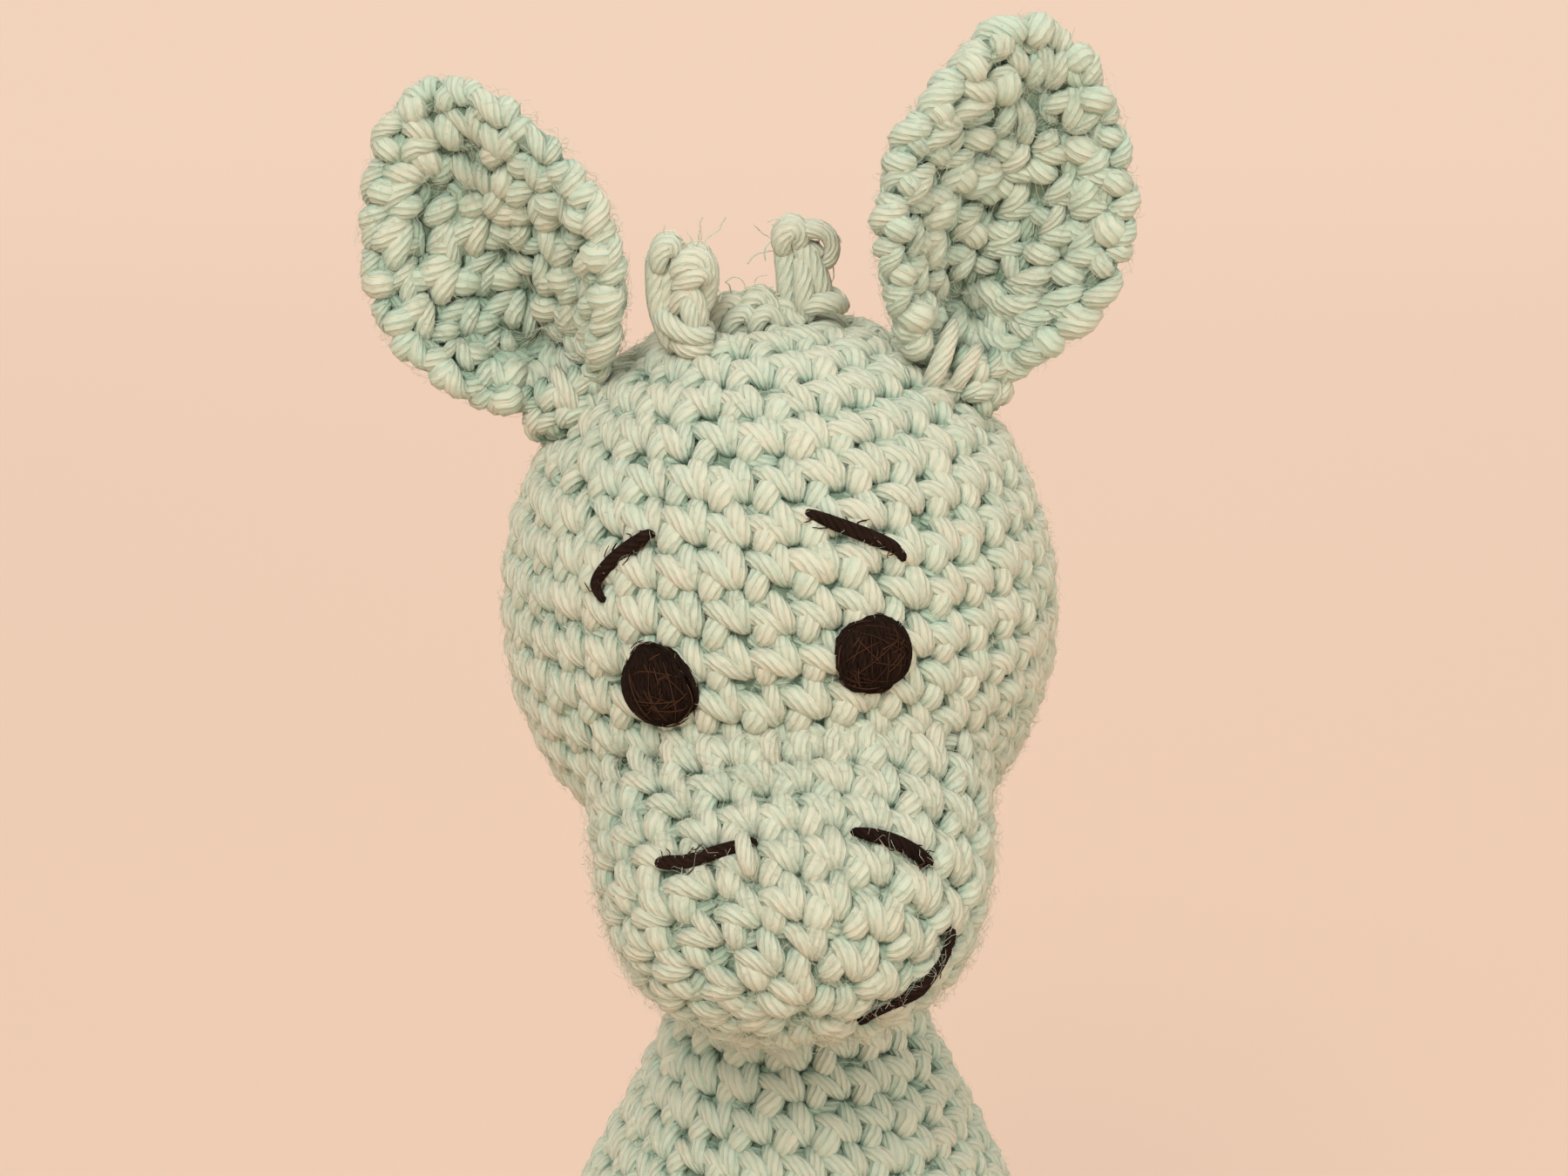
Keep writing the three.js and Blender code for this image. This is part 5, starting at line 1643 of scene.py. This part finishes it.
def add_backdrop(colour):
    """A floor that curves up into a wall behind the doll."""
    deselect()
    bpy.ops.mesh.primitive_plane_add(size=FLOOR_SIZE, location=FLOOR_PLACE)
    floor = bpy.context.object
    floor.name = "backdrop"
    bpy.ops.object.mode_set(mode="EDIT")
    bpy.ops.mesh.select_all(action="DESELECT")
    bpy.ops.object.mode_set(mode="OBJECT")
    for edge in floor.data.edges:
        edge.select = all(floor.data.vertices[i].co.y > 0 for i in edge.vertices)
    bpy.ops.object.mode_set(mode="EDIT")
    bpy.ops.mesh.select_mode(type="EDGE")
    for step in range(CURVE_STEPS):
        a, b = (math.pi / 2 * (step + k) / CURVE_STEPS for k in (0, 1))
        move = (0, CURVE_RADIUS * (math.sin(b) - math.sin(a)), CURVE_RADIUS * (math.cos(a) - math.cos(b)))
        bpy.ops.mesh.extrude_region_move(TRANSFORM_OT_translate={"value": move})
    bpy.ops.mesh.extrude_region_move(TRANSFORM_OT_translate={"value": (0, 0, WALL_TALL)})
    bpy.ops.object.mode_set(mode="OBJECT")
    bpy.ops.object.transform_apply(location=True, rotation=True, scale=True)
    bpy.ops.object.shade_smooth()
    finish = Finish("backdrop_paper", Roughness=1.0, Specular_IOR_Level=0.0)
    place = finish.node("ShaderNodeTexCoord", {}, []).outputs["Object"]
    parts = finish.node("ShaderNodeSeparateXYZ", {}, [place])
    # Painted light: the paper is graded paler far back than near, and glows more there
    away = (Value(finish, parts.outputs[1]) * GRADE - GRADE_FROM).held()
    grain = finish.noise(place, 2.0, 2.0)
    far = tuple(min(1, c * FAR_PAPER) for c in colour)
    light_graded = finish.mixed(away, tuple(c * NEAR_PAPER for c in colour), far)
    finish.coloured(finish.mixed(grain * GRAIN, light_graded, tuple(c * GRAIN_PAPER for c in colour)))
    distance = Value(finish, finish.node("ShaderNodeVectorMath", {"operation": "LENGTH"}, [place]).outputs["Value"])
    edge = ((distance - EDGE_FROM) * EDGE).held()
    glow = finish.node("ShaderNodeEmission", {}, {"Color": finish.mixed(edge, light_graded, far)})
    share = finish.seen() * (away * GLOW_MORE + GLOW + edge).held()
    mix = finish.node("ShaderNodeMixShader", {}, [share, finish.shader.outputs[0], glow.outputs[0]])
    output = finish.tree.nodes["Material Output"]
    finish.tree.links.new(mix.outputs[0], output.inputs[0])
    floor.data.materials.append(finish.material)


def add_world(colour):
    """Soft light from all round, which looks like the backdrop where the floor ends."""
    world = bpy.data.worlds.new("studio")
    world.use_nodes = True
    nodes = Nodes(world.node_tree)
    light = nodes.tree.nodes["Background"]
    nodes.fill(light.inputs[0], rgba(WORLD_LIGHT))
    nodes.fill(light.inputs[1], WORLD_STRENGTH)
    paper = nodes.node("ShaderNodeBackground", {}, [rgba(tuple(min(1, c * FAR_PAPER) for c in colour)), 1.0])
    mix = nodes.node("ShaderNodeMixShader", {}, [nodes.seen(), light.outputs[0], paper.outputs[0]])
    nodes.fill(nodes.tree.nodes["World Output"].inputs[0], mix.outputs[0])
    bpy.context.scene.world = world


def add_lamps():
    for name, place, size, power, colour in LAMPS:
        data = bpy.data.lights.new(name, "AREA")
        data.size = size
        data.energy = power
        data.color = colour
        lamp = new_object(name, data)
        lamp.location = place
        lamp.rotation_euler = (Vector(LAMPS_TARGET) - Vector(place)).to_track_quat("-Z", "Y").to_euler()


def add_camera(lens):
    """The photograph's view: towards the middle of the head, from a little above it."""
    data = bpy.data.cameras.new("camera")
    data.lens = lens
    data.sensor_width = 36
    data.shift_x, data.shift_y = CAMERA_SHIFT
    camera = new_object("camera", data)
    away = Vector((0, -math.cos(CAMERA_LIFT), math.sin(CAMERA_LIFT))) * CAMERA_AWAY
    camera.location = HEAD @ HEAD_CENTRE + away
    camera.rotation_euler = (math.pi / 2 - CAMERA_LIFT, 0, 0)
    bpy.context.scene.camera = camera


PIECES = [
    DOLL_OT_trunk, DOLL_OT_head, DOLL_OT_muzzle, DOLL_OT_limbs, DOLL_OT_ears, DOLL_OT_horns, DOLL_OT_eyes,
    DOLL_OT_face_lines, DOLL_OT_seams, DOLL_OT_tail, DOLL_OT_fuzz, DOLL_OT_stage,
]


class DOLL_PT_pieces(bpy.types.Panel):
    """Lists the pieces of the doll and the sizes and colours they use"""
    bl_idname = "DOLL_PT_pieces"
    bl_label = "Crocheted giraffe"
    bl_space_type = "VIEW_3D"
    bl_region_type = "UI"
    bl_category = "Doll"

    def draw(self, context):
        layout = self.layout
        for group in (context.scene.doll_yarn, context.scene.doll_stage):
            for name in group.__annotations__:
                layout.prop(group, name)
        for piece in PIECES:
            layout.operator(piece.bl_idname)


CLASSES = [DollYarn, DollStage, *PIECES, DOLL_PT_pieces]


def register():
    for kind in CLASSES:
        bpy.utils.register_class(kind)
    bpy.types.Scene.doll_yarn = bpy.props.PointerProperty(type=DollYarn)
    bpy.types.Scene.doll_stage = bpy.props.PointerProperty(type=DollStage)


def unregister():
    del bpy.types.Scene.doll_stage
    del bpy.types.Scene.doll_yarn
    for kind in reversed(CLASSES):
        bpy.utils.unregister_class(kind)


def main():
    register()
    for piece in PIECES:
        group, name = piece.bl_idname.split(".")
        getattr(getattr(bpy.ops, group), name)()


if __name__ == "__main__":
    main()
